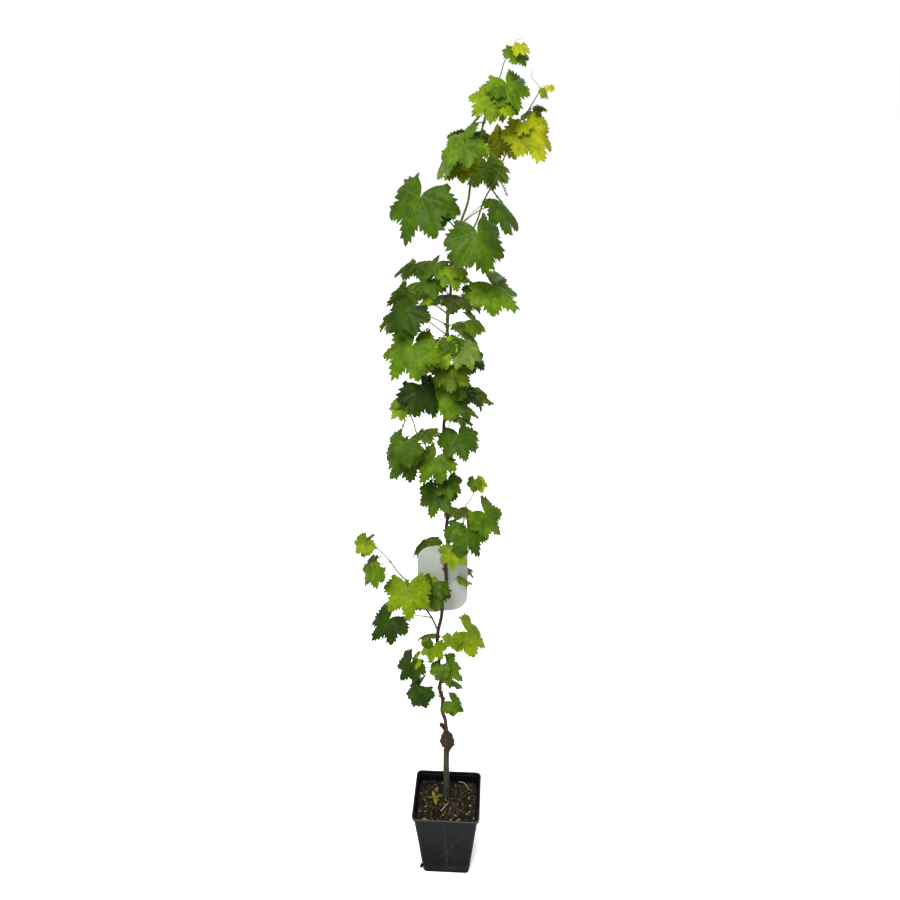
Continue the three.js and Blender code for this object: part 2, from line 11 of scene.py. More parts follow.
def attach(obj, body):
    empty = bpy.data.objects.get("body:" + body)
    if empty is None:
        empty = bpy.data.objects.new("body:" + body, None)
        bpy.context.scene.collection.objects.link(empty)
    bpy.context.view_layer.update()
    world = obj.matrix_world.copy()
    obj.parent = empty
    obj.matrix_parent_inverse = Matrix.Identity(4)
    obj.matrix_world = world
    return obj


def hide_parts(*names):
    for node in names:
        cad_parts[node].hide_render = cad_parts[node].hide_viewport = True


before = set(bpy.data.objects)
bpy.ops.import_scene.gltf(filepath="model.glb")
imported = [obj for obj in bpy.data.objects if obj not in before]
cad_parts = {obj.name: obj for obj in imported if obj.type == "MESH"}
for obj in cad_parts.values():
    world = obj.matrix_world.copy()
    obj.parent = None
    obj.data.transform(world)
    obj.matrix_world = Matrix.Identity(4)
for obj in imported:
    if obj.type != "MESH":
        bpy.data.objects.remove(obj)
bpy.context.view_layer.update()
scene = bpy.context.scene

# ---------------------------------------------------------------- sizes (metres)
POT_HEIGHT, POT_RIM, POT_NECK, POT_FOOT = 0.188, 0.153, 0.144, 0.107
POT_CORNER, POT_BAND, POT_WALL, POT_FLOOR = 0.075, 0.009, 0.0016, 0.003
POT_TURN = math.radians(-3.3)
SOIL = 0.167
LABEL_W, LABEL_H, LABEL_R = 0.104, 0.159, 0.030
LABEL_AT, LABEL_TURN = (-0.0082, 0.0130, 0.7713), math.radians(8.5)
LEAF_ASPECT = 0.82        # half width over length that the leaf outlines are drawn at
BLADE, RIM = 0.00022, 0.00009    # half thickness of a blade in its middle and at its margin
LEAF_GAIN = (0.36, 0.58)  # base colour over display colour under this light, in the darkest and the lightest tones
BARK_GAIN = 0.30

# ---------------------------------------------------------------- limbs and masses (the same sizes as the construction)
# limbs: foot or (limb, share), length, turn, lift, bow, kink, joints, radius at foot and tip (mm, degrees)
LIMBS = {
    'rootstock': ((-1.5, 22, 167.3), 139, -92, 87, (0, 0), 0.4, 3, (7.4, 6.5)),
    'graft_union': (('rootstock', 1), 64, -100, 86, (3, 1), 0, 4, (0, 0)),
    'stem_lower': (('graft_union', 1), 282, -145, 86, (-4, -2), 2.2, 9, (4.1, 3.8)),
    'stem_middle': (('stem_lower', 1), 361, 0, 88, (13, 0), 2.0, 9, (3.8, 3.4)),
    'stem_upper': (('stem_middle', 1), 419, 0, 88, (-2, 0), 1.6, 8, (3.3, 2.5)),
    'stem_top': (('stem_upper', 1), 248, -6, 77, (3, 0), 1.5, 7, (2.3, 1.4)),
    'tip_fork_right': (('stem_top', 1), 108, -19, 67, (-4, 2), 2.0, 5, (1.2, 0.7)),
    'tip_fork_left': (('stem_top', 1), 46, 27, 73, (0, 0), 0.8, 3, (1.2, 0.8)),
    'second_leader': (('stem_upper', 0.91), 350, 8, 65, (-7, 4), 1.6, 9, (1.9, 0.8)),
    'side_shoot_top': (('stem_top', 0.5), 76, -74, 76, (0, 0), 0.8, 3, (0.9, 0.7)),
    'shoot_low_left': (('stem_middle', 0.0), 282, -156, 61, (10, 5), 2.0, 6, (2.2, 1.0)),
    'shoot_right': (('stem_middle', 0.45), 190, 20, 71, (2, 3), 4.0, 6, (1.8, 0.8)),
    'shoot_middle_left': (('stem_upper', 0.0), 179, -149, 64, (-3, 0), 2.2, 6, (1.9, 1.0)),
}
# masses: limb, first and last share, turn and lift of the stalks, reach, blade length, leaves, droop, small leaves,
# tint; the tints for lit and shaded masses are painted light and painted shade
MASSES = {
    'tip_right': ('tip_fork_right', 1, 1, -35, -10, 8, 30, 1, 55, 1, 'young'),
    'crown_right': ('tip_fork_right', 0.3, 0.5, -60, 0, 18, 58, 2, 52, 1, 'painted_sunlit'),
    'crown_left': ('stem_top', 0.7, 0.95, -150, 0, 22, 42, 3, 45, 2, 'young'),
    'crown_back': ('second_leader', 0.7, 0.7, 110, 35, 44, 58, 1, 60, 1, 'young'),
    'crown_pale': ('side_shoot_top', 0.9, 1, -150, 12, 38, 56, 2, 48, 1, 'pale'),
    'leader_low': ('second_leader', 0.9, 0.9, 70, -15, 16, 26, 1, 30, 1, 'plain'),
    'leader_bud': ('second_leader', 1, 1, -40, 0, 8, 17, 1, 60, 1, 'young'),
    'leader_leaf': ('second_leader', 0.8, 0.8, -50, 5, 22, 62, 1, 60, 1, 'young'),
    'side_left': ('stem_top', 0.22, 0.22, -160, 38, 100, 84, 1, 62, 2, 'plain'),
    'right_upper': ('stem_top', 0.12, 0.28, -25, 30, 82, 72, 2, 50, 1, 'plain'),
    'right_lower': ('stem_upper', 0.82, 0.82, -20, 30, 80, 66, 1, 45, 1, 'plain'),
    'tangle': ('stem_upper', 0.92, 1, -125, 10, 32, 42, 3, 35, 4, 'mixed'),
    'left_middle': ('stem_upper', 0.68, 0.78, -165, 24, 95, 64, 3, 48, 3, 'mixed'),
    'left_big': ('stem_upper', 0.66, 0.66, -140, 10, 95, 70, 1, 50, 1, 'plain'),
    'front_a': ('stem_upper', 0.64, 0.64, -115, 10, 52, 52, 1, 55, 2, 'painted_sunlit'),
    'front_b': ('stem_upper', 0.54, 0.56, -50, 25, 52, 52, 2, 40, 1, 'plain'),
    'right_pale': ('stem_upper', 0.64, 0.72, -15, 5, 45, 44, 2, 30, 2, 'pale'),
    'left_dark': ('shoot_middle_left', 0.9, 0.9, -40, 68, 75, 64, 1, 55, 1, 'shade'),
    'front_c': ('stem_upper', 0.45, 0.45, -100, 20, 34, 68, 1, 60, 1, 'painted_sunlit'),
    'right_dark': ('stem_upper', 0.4, 0.4, -30, 25, 40, 44, 1, 25, 1, 'shade'),
    'left_tip': ('shoot_middle_left', 1, 1, -150, 50, 10, 36, 1, 35, 1, 'young'),
    'front_d': ('stem_upper', 0.1, 0.2, -80, 30, 45, 60, 2, 35, 1, 'painted_sunlit'),
    'midleft_leaf': ('shoot_middle_left', 0.25, 0.5, -158, 22, 56, 62, 2, 48, 2, 'plain'),
    'front_f': ('stem_middle', 0.88, 0.97, -100, 35, 32, 50, 2, 45, 2, 'mixed'),
    'right_tip': ('shoot_right', 1, 1, -50, 30, 6, 28, 1, 50, 1, 'young'),
    'right_leaf': ('shoot_right', 0.45, 0.55, -45, 25, 45, 68, 2, 55, 1, 'plain'),
    'front_h': ('shoot_right', 0.15, 0.15, -80, 35, 44, 38, 1, 55, 1, 'painted_sunlit'),
    'lowleft_tip': ('shoot_low_left', 0.95, 1, -150, 30, 20, 36, 2, 45, 1, 'painted_sunlit'),
    'lowleft_edge': ('shoot_low_left', 0.78, 0.78, -160, -5, 34, 44, 1, 50, 1, 'painted_sunlit'),
    'lowleft_leaf': ('shoot_low_left', 0.42, 0.42, -100, 45, 58, 66, 1, 58, 1, 'painted_sunlit'),
    'front_dark': ('stem_middle', 0.3, 0.3, -150, 25, 34, 60, 1, 45, 2, 'shade'),
    'lowleft_side': ('shoot_low_left', 0.14, 0.14, -160, 15, 96, 58, 1, 50, 1, 'plain'),
    'low_right': ('stem_lower', 0.94, 0.94, 2, 8, 66, 58, 1, 48, 1, 'painted_sunlit'),
    'low_front': ('stem_lower', 0.88, 0.88, -115, 20, 16, 36, 1, 50, 1, 'painted_sunlit'),
    'low_left': ('stem_lower', 0.7, 0.7, -170, 18, 62, 48, 1, 55, 1, 'plain'),
    'low_middle': ('stem_lower', 0.68, 0.68, -30, 15, 28, 44, 1, 52, 1, 'mixed'),
    'low_left_b': ('stem_lower', 0.34, 0.46, -165, 18, 60, 52, 2, 52, 1, 'plain'),
    'low_right_b': ('stem_lower', 0.3, 0.3, 8, 10, 20, 36, 1, 45, 1, 'plain'),
    'back_low': ('stem_lower', 0.4, 0.8, 90, 15, 48, 40, 2, 50, 1, 'plain'),
    'back_lower_middle': ('stem_middle', 0.25, 0.6, 95, 25, 78, 56, 3, 50, 2, 'plain'),
    'back_middle': ('stem_upper', 0.03, 0.2, 90, 18, 84, 56, 3, 50, 2, 'plain'),
    'back_upper_middle': ('stem_upper', 0.32, 0.62, 90, 20, 80, 54, 3, 50, 2, 'plain'),
    'back_upper': ('stem_upper', 0.76, 0.95, 95, 18, 88, 56, 3, 48, 2, 'plain'),
    'back_crown': ('stem_top', 0.55, 0.95, 85, 30, 55, 56, 3, 50, 2, 'painted_sunlit'),
}
SPREAD, LIGHT_PULL, FOLD, WIDTH = 34, 1.0, 14, 0.8


def dice(seed):
    """Seeded numbers between 0 and 1, the same run as in the construction."""
    a, full = seed, 0xFFFFFFFF

    def roll():
        nonlocal a
        a = (a + 0x6D2B79F5) & full
        t = ((a ^ (a >> 15)) * (1 | a)) & full
        t = (((t + (((t ^ (t >> 7)) * (61 | t)) & full)) & full) ^ t) & full
        return (t ^ (t >> 14)) / 4294967296
    return roll


SHOOTS = {}


def on_limb(name, share):
    nodes = np.array(SHOOTS[name][1], float)
    seg = np.linalg.norm(np.diff(nodes, axis=0), axis=1)
    x = share * seg.sum()
    for i, s in enumerate(seg):
        if x <= s or i == len(seg) - 1:
            return nodes[i] + (nodes[i + 1] - nodes[i]) * min(1.0, x / s)
        x -= s


for limb_name, (origin, long_, turn_, lift_, bow_, kink_, count_, radii_) in LIMBS.items():
    start = np.array(origin, float) / 1000 if len(origin) == 3 else on_limb(*origin)
    flat, ta, la = math.cos(math.radians(lift_)), math.radians(turn_), math.radians(lift_)
    line = []
    for i in range(count_ + 1):
        t = i / count_
        bend = math.sin(math.pi * t)
        kink = (kink_ if i % 2 else -kink_) if 0 < i < count_ else 0
        line.append(tuple(start + np.array([long_ * t * flat * math.cos(ta) + bow_[0] * bend + kink, long_ * t * flat * math.sin(ta) + bow_[1] * bend, long_ * t * math.sin(la)]) / 1000))
    SHOOTS[limb_name] = (radii_, line)

# leaf tones as display colours, and how each tint deals them out
# the grey tone is a painted sheen, the sky's reflection on the upper faces of the blades
LEAF_TONES = {"deep": (44, 68, 18), "dark": (50, 78, 16), "mid": (68, 98, 22), "fresh": (86, 116, 24), "lime": (112, 134, 26), "yellow": (144, 150, 24), "olive": (84, 104, 26), "sheen_grey": (100, 122, 76)}
TINTS = {
    # the yellow tone dealt here is partly the young leaves' own yellow and partly a painted glow of light through
    # backlit blades
    "young": (("lime", 4), ("yellow", 3), ("fresh", 3)),
    # painted light: this tint deals lighter tones to masses where the light falls on the leaves
    "painted_sunlit": (("fresh", 4), ("mid", 3), ("lime", 3)),
    "plain": (("mid", 4), ("dark", 2), ("fresh", 3), ("olive", 1)),
    # painted shade: this tint deals the dark and deep tones to masses where shade falls among the leaves
    "shade": (("dark", 4), ("deep", 3), ("mid", 3)),
    # painted sheen: this tint deals mostly the grey tone
    "pale": (("sheen_grey", 5), ("fresh", 3), ("mid", 2)),
    "mixed": (("mid", 3), ("fresh", 3), ("lime", 2), ("dark", 2)),
}


# ---------------------------------------------------------------- leaf outlines and their bend
def unit(v):
    return v / max(1e-12, np.linalg.norm(v))


LOBES = (0.0, 48.0, 96.0, 140.0)


def half_outline(rg, deep, teeth, toothed, wide=0.0):
    """One half of a vine leaf's margin from the tip round to the stalk: lobes, hollows and teeth, drawn for a length of 1."""
    w = lambda x, s: x * (1 + rg.uniform(-s, s))
    marks = [  # angle from the midrib, radius, 1 for a lobe's point and -1 for a hollow
        (0, 1.0, 1),
        (w(25, 0.10), w(0.62, 0.05) * (1 - deep), -1),
        (w(48, 0.05), w(0.92, 0.04), 1),
        (w(73, 0.05), w(0.64, 0.05) * (1 - deep * 0.9), -1),
        (w(96, 0.04), w(0.81, 0.05), 1),
        (w(120 - 12 * wide, 0.03), w(0.58, 0.06), -1),
        (w(141 - 15 * wide, 0.02), w(0.60, 0.06), 1),
    ]
    pts = [np.array([math.cos(math.radians(a)) * r, math.sin(math.radians(a)) * r]) for a, r, _ in marks]
    out = []
    for k in range(len(marks) - 1):
        a, b = pts[k], pts[k + 1]
        d = b - a
        span = np.linalg.norm(d)
        normal = np.array([d[1], -d[0]]) / span
        if normal @ (a + b) < 0:
            normal = -normal
        rising = marks[k + 1][2] > 0      # from a hollow up to a point
        bow = 0.10
        n = max(1, round(span / teeth))
        size = np.array([w(1.0, 0.28) for _ in range(n)])
        cuts = np.r_[0, np.cumsum(size) / size.sum()]
        base = lambda u: a + d * u + normal * bow * span * 4 * u * (1 - u)
        for q in range(n):
            u0, u1 = cuts[q], cuts[q + 1]
            wide = (u1 - u0) * span
            if rising:  # a notch, then a tooth that leans towards the lobe's point
                if q or k:
                    out.append(base(u0) - normal * wide * (0.10 if q else 0.0))
                if toothed:
                    out.append(base(u0 + (u1 - u0) * 0.42) + normal * wide * w(0.26, 0.2))
                if q < n - 1:
                    out.append(base(u0 + (u1 - u0) * 0.86) + normal * wide * w(0.62, 0.2))
            else:       # the lobe's point or a notch, then a tooth leaning back to the point
                if q == 0:
                    out.append(a)
                    if toothed:
                        out.append(base(u0 + (u1 - u0) * 0.5) + normal * wide * w(0.05, 0.3))
                    continue
                out.append(base(u0) - normal * wide * 0.12)
                out.append(base(u0 + (u1 - u0) * 0.14) + normal * wide * w(0.60, 0.2))
                if toothed:
                    out.append(base(u0 + (u1 - u0) * 0.58) + normal * wide * w(0.24, 0.2))
    out.append(pts[-1])
    gap = rg.uniform(0.5, 1.3)
    if wide:     # the hollow at the stalk opens wide
        gap = 1.30 + 0.40 * wide + 0.1 * (gap - 0.9)
    for a, r in ((150, 0.50), (156, 0.36), (162, 0.22), (168, 0.10)):
        a = 180 - (180 - a) * gap
        r *= rg.uniform(0.95, 1.05)
        out.append(np.array([math.cos(math.radians(a)) * r, math.sin(math.radians(a)) * r]))
    return np.array(out), marks


DETAIL = {"large": (0.135, 0.058, True), "medium": (0.16, 0.085, False), "small": (0.21, 0.16, False)}
FIRST_SEED = {"large": (11, 8, 8), "medium": (31, 6, 6), "small": (51, 5, 4)}    # first seed, outlines closed at the stalk, outlines open there


def outline_of(seed, detail):
    first, n, m = FIRST_SEED[detail]
    return seed % n if seed < 4000 else n + seed % m


def leaf_rim(seed, detail):
    rg = np.random.default_rng(seed)
    teeth, grid, toothed = DETAIL[detail]
    first, shallow, _ = FIRST_SEED[detail]
    open_foot = seed >= first + shallow
    deep = rg.uniform(-0.08, 0.30 if open_foot else 0.16)
    wide = rg.uniform(0.4, 1.0) if open_foot else 0.0
    right, marks_r = half_outline(rg, deep, teeth, toothed, wide)
    left, marks_l = half_outline(rg, deep, teeth, toothed, wide)
    left = left * (1, -1)
    rim = np.vstack([right, [[0.0, 0.0]], left[:0:-1]])
    return rg, rim, len(right), marks_r, marks_l


def detail_for(length):
    return "large" if length > 0.034 else "medium" if length > 0.019 else "small"


def leaf_axes(az, el, right, left):
    az, el = math.radians(az), math.radians(el)
    t = np.array([math.cos(el) * math.cos(az), math.cos(el) * math.sin(az), math.sin(el)])
    ref = np.array([0.0, 0.0, 1.0]) if abs(t[1]) > 0.95 else np.array([0.0, 1.0, 0.0])
    h = unit(np.cross(t, ref))
    v = np.cross(h, t)
    half = lambda deg: h * math.cos(math.radians(deg)) + v * math.sin(math.radians(deg))
    return t, half(right), half(left)


def blade_shape(J, t, r, l, length, width, side, seed, curl=1.0):
    """The bent surface of one blade: a function from flat leaf points (length 1), raise between the veins and distance off the
    middle surface to places. t is the midrib's direction, r and l the two halves' directions, side +1 if the upper face is on t x r."""
    rg = np.random.default_rng(seed)
    nr, nl = unit(np.cross(t, r)) * side, unit(np.cross(l, t)) * side
    b = unit(r - l)
    b = unit(b - t * (b @ t))
    droop = rg.uniform(0.02, 0.12) * curl
    edge = rg.uniform(-0.05, 0.10) * curl
    waves = [(rg.uniform(0.010, 0.030) * curl, k, rg.uniform(0, 6.28)) for k in (5, 8, 13)]
    lobes = [(c, rg.uniform(-0.22, 0.10) * curl) for c in (0.0, 0.84, -0.84, 1.68, -1.68, 2.45, -2.45)]
    flip = 1 if rg.random() < 0.5 else -1      # outlines are used mirrored as well

    def surface(p, lift, dist):
        s, y = p[:, 0], p[:, 1] / LEAF_ASPECT
        k = 0.15
        soft = (np.sqrt(y * y + k * k) - k) / (math.sqrt(1 + k * k) - k)
        right = (y > 0)[:, None]
        away = np.where(right, r - b * (r @ b), l - b * (l @ b))
        out = np.where(right, r @ b, -(l @ b))
        P = J + np.outer(s * length, t) + (y[:, None] * out * width) * b + (soft[:, None] * width) * away
        w = np.clip(y / 0.22 * 0.5 + 0.5, 0, 1)[:, None]
        w = w * w * (3 - 2 * w)
        n = nl * (1 - w) + nr * w
        n /= np.linalg.norm(n, axis=1)[:, None]
        rad = np.hypot(s, p[:, 1])
        ang = np.arctan2(p[:, 1], s)
        grow = np.clip(rad / 0.85, 0, 1.2)
        fade = np.clip(rad / 0.12, 0, 1)
        h = -droop * np.clip(s, -0.3, 1.2) ** 2 * 0.8 - edge * np.abs(y) ** 2.2
        for a, q, ph in waves:
            h += a * np.sin(ang * q + ph) * grow ** 2
        for c, a in lobes:
            h += a * np.exp(-(((ang - c) / 0.34) ** 2)) * np.clip(rad - 0.42, 0, 0.6) ** 1.6 * 2.2
        # valleys along the main ribs, from the foot out
        h -= 0.030 * sum(np.exp(-(((np.abs(ang) - c) / 0.13) ** 2)) for c in (0.84, 1.68)) * np.clip(rad / 0.3, 0, 1) * np.clip(1.1 - rad, 0, 1)
        h += 0.026 * lift
        return P + n * (h * fade * length)[:, None] + n * dist[:, None]

    return surface, flip

# ---------------------------------------------------------------- camera
cam_data = bpy.data.cameras.new("camera")
cam_data.sensor_width, cam_data.lens = 36.0, 37.0
cam_data.clip_start, cam_data.clip_end = 0.01, 200.0
camera = bpy.data.objects.new("camera", cam_data)
camera.location = (0.0065, -1.5925, 1.8212)
camera.rotation_euler = (math.radians(64.75), 0, 0)
scene.collection.objects.link(camera)
scene.camera = camera


# ---------------------------------------------------------------- colours and materials
def srgb(r, g, b):
    """8-bit display colour to linear."""
    return tuple(((c / 255) / 12.92 if c / 255 <= 0.04045 else (((c / 255) + 0.055) / 1.055) ** 2.4) for c in (r, g, b))


def shade(c, k):
    return tuple(min(1.0, x * k) for x in c)


class Nodes:
    """A node material with a Principled shader and short ways to wire it."""

    def __init__(self, name, rough=0.5, spec=0.5, coat=0.0, coat_rough=0.3, sheen=0.0):
        self.mat = bpy.data.materials.new(name)
        self.mat.use_nodes = True
        self.t = self.mat.node_tree
        self.bsdf = next(n for n in self.t.nodes if n.type == "BSDF_PRINCIPLED")
        self.bsdf.inputs["Roughness"].default_value = rough
        self.bsdf.inputs["Specular IOR Level"].default_value = spec
        self.bsdf.inputs["Coat Weight"].default_value = coat
        self.bsdf.inputs["Coat Roughness"].default_value = coat_rough
        self.bsdf.inputs["Sheen Weight"].default_value = sheen
        self.coord = self.t.nodes.new("ShaderNodeTexCoord")

    def node(self, kind, **values):
        n = self.t.nodes.new(kind)
        for k, v in values.items():
            if k in n.inputs:
                n.inputs[k].default_value = v
            else:
                setattr(n, k, v)
        return n

    def link(self, a, b):
        self.t.links.new(a, b)
        return b

    def mapped(self, scale=(1, 1, 1), rot=(0, 0, 0)):
        m = self.node("ShaderNodeMapping")
        m.inputs["Scale"].default_value = scale
        m.inputs["Rotation"].default_value = rot
        self.link(self.coord.outputs["Object"], m.inputs["Vector"])
        return m.outputs["Vector"]

    def noise(self, scale, detail=3, rough=0.5, vector=None, distortion=0.0):
        n = self.node("ShaderNodeTexNoise", Scale=scale, Detail=detail, Roughness=rough, Distortion=distortion)
        self.link(vector or self.coord.outputs["Object"], n.inputs["Vector"])
        return n.outputs["Fac"]

    def ramp(self, fac, stops, interpolation="LINEAR"):
        n = self.node("ShaderNodeValToRGB")
        n.color_ramp.interpolation = interpolation
        e = n.color_ramp.elements
        while len(e) > 1:
            e.remove(e[-1])
        for i, (at, c) in enumerate(stops):
            el = e[0] if i == 0 else e.new(at)
            el.position = at
            el.color = (*c, 1) if len(c) == 3 else c
        self.link(fac, n.inputs["Fac"])
        return n.outputs["Color"]

    def mix(self, fac, a, b):
        n = self.node("ShaderNodeMix", data_type="RGBA")
        for sock, value in ((n.inputs["Factor"], fac), (n.inputs[6], a), (n.inputs[7], b)):
            if hasattr(value, "links") or hasattr(value, "is_linked"):
                self.link(value, sock)
            else:
                sock.default_value = (*value, 1) if isinstance(value, tuple) and len(value) == 3 else value
        return n.outputs[2]

    def math(self, op, a, b=0.0, clamp=False):
        n = self.node("ShaderNodeMath", operation=op, use_clamp=clamp)
        for i, value in enumerate((a, b)):
            if hasattr(value, "is_linked"):
                self.link(value, n.inputs[i])
            else:
                n.inputs[i].default_value = value
        return n.outputs[0]

    def colour(self, value):
        self.link(value, self.bsdf.inputs["Base Color"])
        return self

    def rough(self, value):
        self.link(value, self.bsdf.inputs["Roughness"])
        return self

    def bump(self, height, strength=0.3, distance=0.001):
        b = self.node("ShaderNodeBump", Strength=strength, Distance=distance)
        self.link(height, b.inputs["Height"])
        self.link(b.outputs["Normal"], self.bsdf.inputs["Normal"])
        return self


def leaf_material(name, c, rough=0.45, spec=0.2, under=False):
    """A leaf surface: one base colour, clouded a little towards yellow and mottled at the scale of its cells, with a fine net of veinlets in the relief."""
    m = Nodes("leaf_" + name, rough=rough, spec=spec)
    cloud = m.ramp(m.noise(30, 4, 0.6), [(0.34, shade(c, 0.66)), (0.50, c), (0.66, (min(1, c[0] * 1.50), min(1, c[1] * 1.32), c[2] * 1.3))])
    fine = m.ramp(m.noise(150, 4, 0.6), [(0.30, (0.74, 0.74, 0.74)), (0.70, (1.22, 1.22, 1.22))])
    mul = m.node("ShaderNodeMix", data_type="RGBA", blend_type="MULTIPLY")
    mul.inputs["Factor"].default_value = 1.0
    m.link(cloud, mul.inputs[6])
    m.link(fine, mul.inputs[7])
    m.colour(mul.outputs[2])
    cells = m.node("ShaderNodeTexVoronoi", feature="DISTANCE_TO_EDGE", Scale=330.0)
    m.link(m.coord.outputs["Object"], cells.inputs["Vector"])
    edge = m.math("MULTIPLY", m.math("MINIMUM", cells.outputs["Distance"], 0.12), 6.0)
    m.bump(m.math("ADD", edge, m.math("MULTIPLY", m.noise(700, 2), 0.5)), 0.35 if not under else 0.5, 0.00025)
    return m.mat


def toward(c, d, k):
    return tuple(x * (1 - k) + y * k for x, y in zip(c, d))


# the tones seen in the leaves, and the plainer tones their other faces get
def leaf_base(r, g, b):
    """The base colour that shows as the given display colour."""
    light = min(1.0, max(0.0, (0.3 * r + 0.59 * g + 0.11 * b - 60) / 90))
    k = LEAF_GAIN[0] + (LEAF_GAIN[1] - LEAF_GAIN[0]) * light
    c = shade(srgb(r, g, b), k)
    return (c[0] * 0.97, c[1] * 1.02, c[2] * 0.35)


TONE = {k: leaf_base(*c) for k, c in LEAF_TONES.items()}
BASE = TONE
LETTERS = list(TONE)
green_mid = min(TONE, key=lambda k: sum(abs(a - b) for a, b in zip(BASE[k], leaf_base(70, 104, 22))))
yellow_mid = min(TONE, key=lambda k: sum(abs(a - b) for a, b in zip(BASE[k], leaf_base(120, 138, 22))))
yellowish = {k for k, c in BASE.items() if c[0] > 0.80 * c[1] and c[2] < 0.2 * c[1]}
PALE = {"under_green": leaf_base(112, 138, 78), "under_yellow": leaf_base(146, 154, 62)}
leaf_mats = [leaf_material(k, c, rough=0.45, spec=0.05) for k, c in TONE.items()] + [leaf_material(k, c, rough=0.65, spec=0.04, under=True) for k, c in PALE.items()]
VEINS = {"vein_dark": leaf_base(88, 120, 46), "vein_green": leaf_base(116, 142, 66), "vein_yellow": leaf_base(164, 168, 58)}
for vein, c in VEINS.items():
    v = Nodes(vein, rough=0.5, spec=0.08)
    v.colour(v.ramp(v.noise(260, 2), [(0.35, shade(c, 0.9)), (0.65, shade(c, 1.08))]))
    v.bump(v.noise(900, 2), 0.2, 0.0001)
    leaf_mats.append(v.mat)
SLOT = {k: i for i, k in enumerate(LETTERS + list(PALE) + list(VEINS))}
VEIN_OF = {k: "vein_yellow" if k in yellowish else "vein_dark" if BASE[k][1] < 0.05 else "vein_green" for k in LETTERS}
VEIN_OF.update({"under_green": "vein_green", "under_yellow": "vein_yellow"})
UNDER = {k: "under_yellow" if k in yellowish else "under_green" for k in LETTERS}
OVER = {k: yellow_mid if k in yellowish else green_mid for k in LETTERS}


# ---------------------------------------------------------------- mesh helpers
class Piece:
    """Gathers triangles with a material index each, and makes one mesh object of them."""

    def __init__(self, name, mats, slot, sharp=math.radians(50)):
        self.name, self.mats, self.slot, self.sharp = name, mats, slot, sharp
        self.v, self.f, self.m, self.n = [], [], [], 0

    def add(self, v, f, m=0):
        v, f = np.asarray(v, float), np.asarray(f, int)
        self.v.append(v)
        self.f.append(f + self.n)
        self.m.append(np.full(len(f), m, int) if np.isscalar(m) else np.asarray(m, int))
        self.n += len(v)

    @property
    def faces(self):
        return sum(len(f) for f in self.f)

    def make(self, *replaces):
        v, f, m = np.concatenate(self.v), np.concatenate(self.f), np.concatenate(self.m)
        me = bpy.data.meshes.new(self.name)
        me.vertices.add(len(v))
        me.vertices.foreach_set("co", v.astype(np.float32).ravel())
        me.loops.add(len(f) * 3)
        me.loops.foreach_set("vertex_index", f.astype(np.int32).ravel())
        me.polygons.add(len(f))
        me.polygons.foreach_set("loop_start", (np.arange(len(f)) * 3).astype(np.int32))
        me.polygons.foreach_set("material_index", m.astype(np.int32))
        me.polygons.foreach_set("use_smooth", np.ones(len(f), bool))
        for mat in self.mats:
            me.materials.append(mat)
        me.update(calc_edges=True)
        me.validate()
        me.set_sharp_from_angle(angle=self.sharp)
        o = bpy.data.objects.new(self.name, me)
        scene.collection.objects.link(o)
        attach(o, "root")
        if replaces:
            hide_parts(*replaces)
        return o


def smooth_path(points, step):
    """A centripetal spline through the points, resampled at about the step."""
    p = np.asarray(points, float)
    if len(p) == 2:
        n = max(2, int(np.linalg.norm(p[1] - p[0]) / step) + 1)
        t = np.linspace(0, 1, n)[:, None]
        return p[0] * (1 - t) + p[1] * t
    q = np.vstack([2 * p[0] - p[1], p, 2 * p[-1] - p[-2]])
    out = []
    for i in range(1, len(q) - 2):
        a, b, c, d = q[i - 1 : i + 3]
        t0 = 0.0
        t1 = t0 + np.linalg.norm(b - a) ** 0.5
        t2 = t1 + np.linalg.norm(c - b) ** 0.5
        t3 = t2 + np.linalg.norm(d - c) ** 0.5
        n = max(2, int(math.ceil(np.linalg.norm(c - b) / step)) + 1)
        t = np.linspace(t1, t2, n)[:, None]
        if i < len(q) - 3:
            t = t[:-1]
        a1 = (t1 - t) / (t1 - t0) * a + (t - t0) / (t1 - t0) * b
        a2 = (t2 - t) / (t2 - t1) * b + (t - t1) / (t2 - t1) * c
        a3 = (t3 - t) / (t3 - t2) * c + (t - t2) / (t3 - t2) * d
        b1 = (t2 - t) / (t2 - t0) * a1 + (t - t0) / (t2 - t0) * a2
        b2 = (t3 - t) / (t3 - t1) * a2 + (t - t1) / (t3 - t1) * a3
        out.append((t2 - t) / (t2 - t1) * b1 + (t - t1) / (t2 - t1) * b2)
    return np.concatenate(out)


def frames_along(p):
    """Tangent and two side directions at each point, carried along without twist."""
    d = np.gradient(p, axis=0)
    d /= np.linalg.norm(d, axis=1)[:, None] + 1e-12
    side = unit(np.cross(d[0], [0.0, 1.0, 0.0]) if abs(d[0][1]) < 0.9 else np.cross(d[0], [1.0, 0.0, 0.0]))
    a, b = [], []
    for t in d:
        side = unit(side - t * (side @ t))
        a.append(side)
        b.append(np.cross(t, side))
    return d, np.array(a), np.array(b)


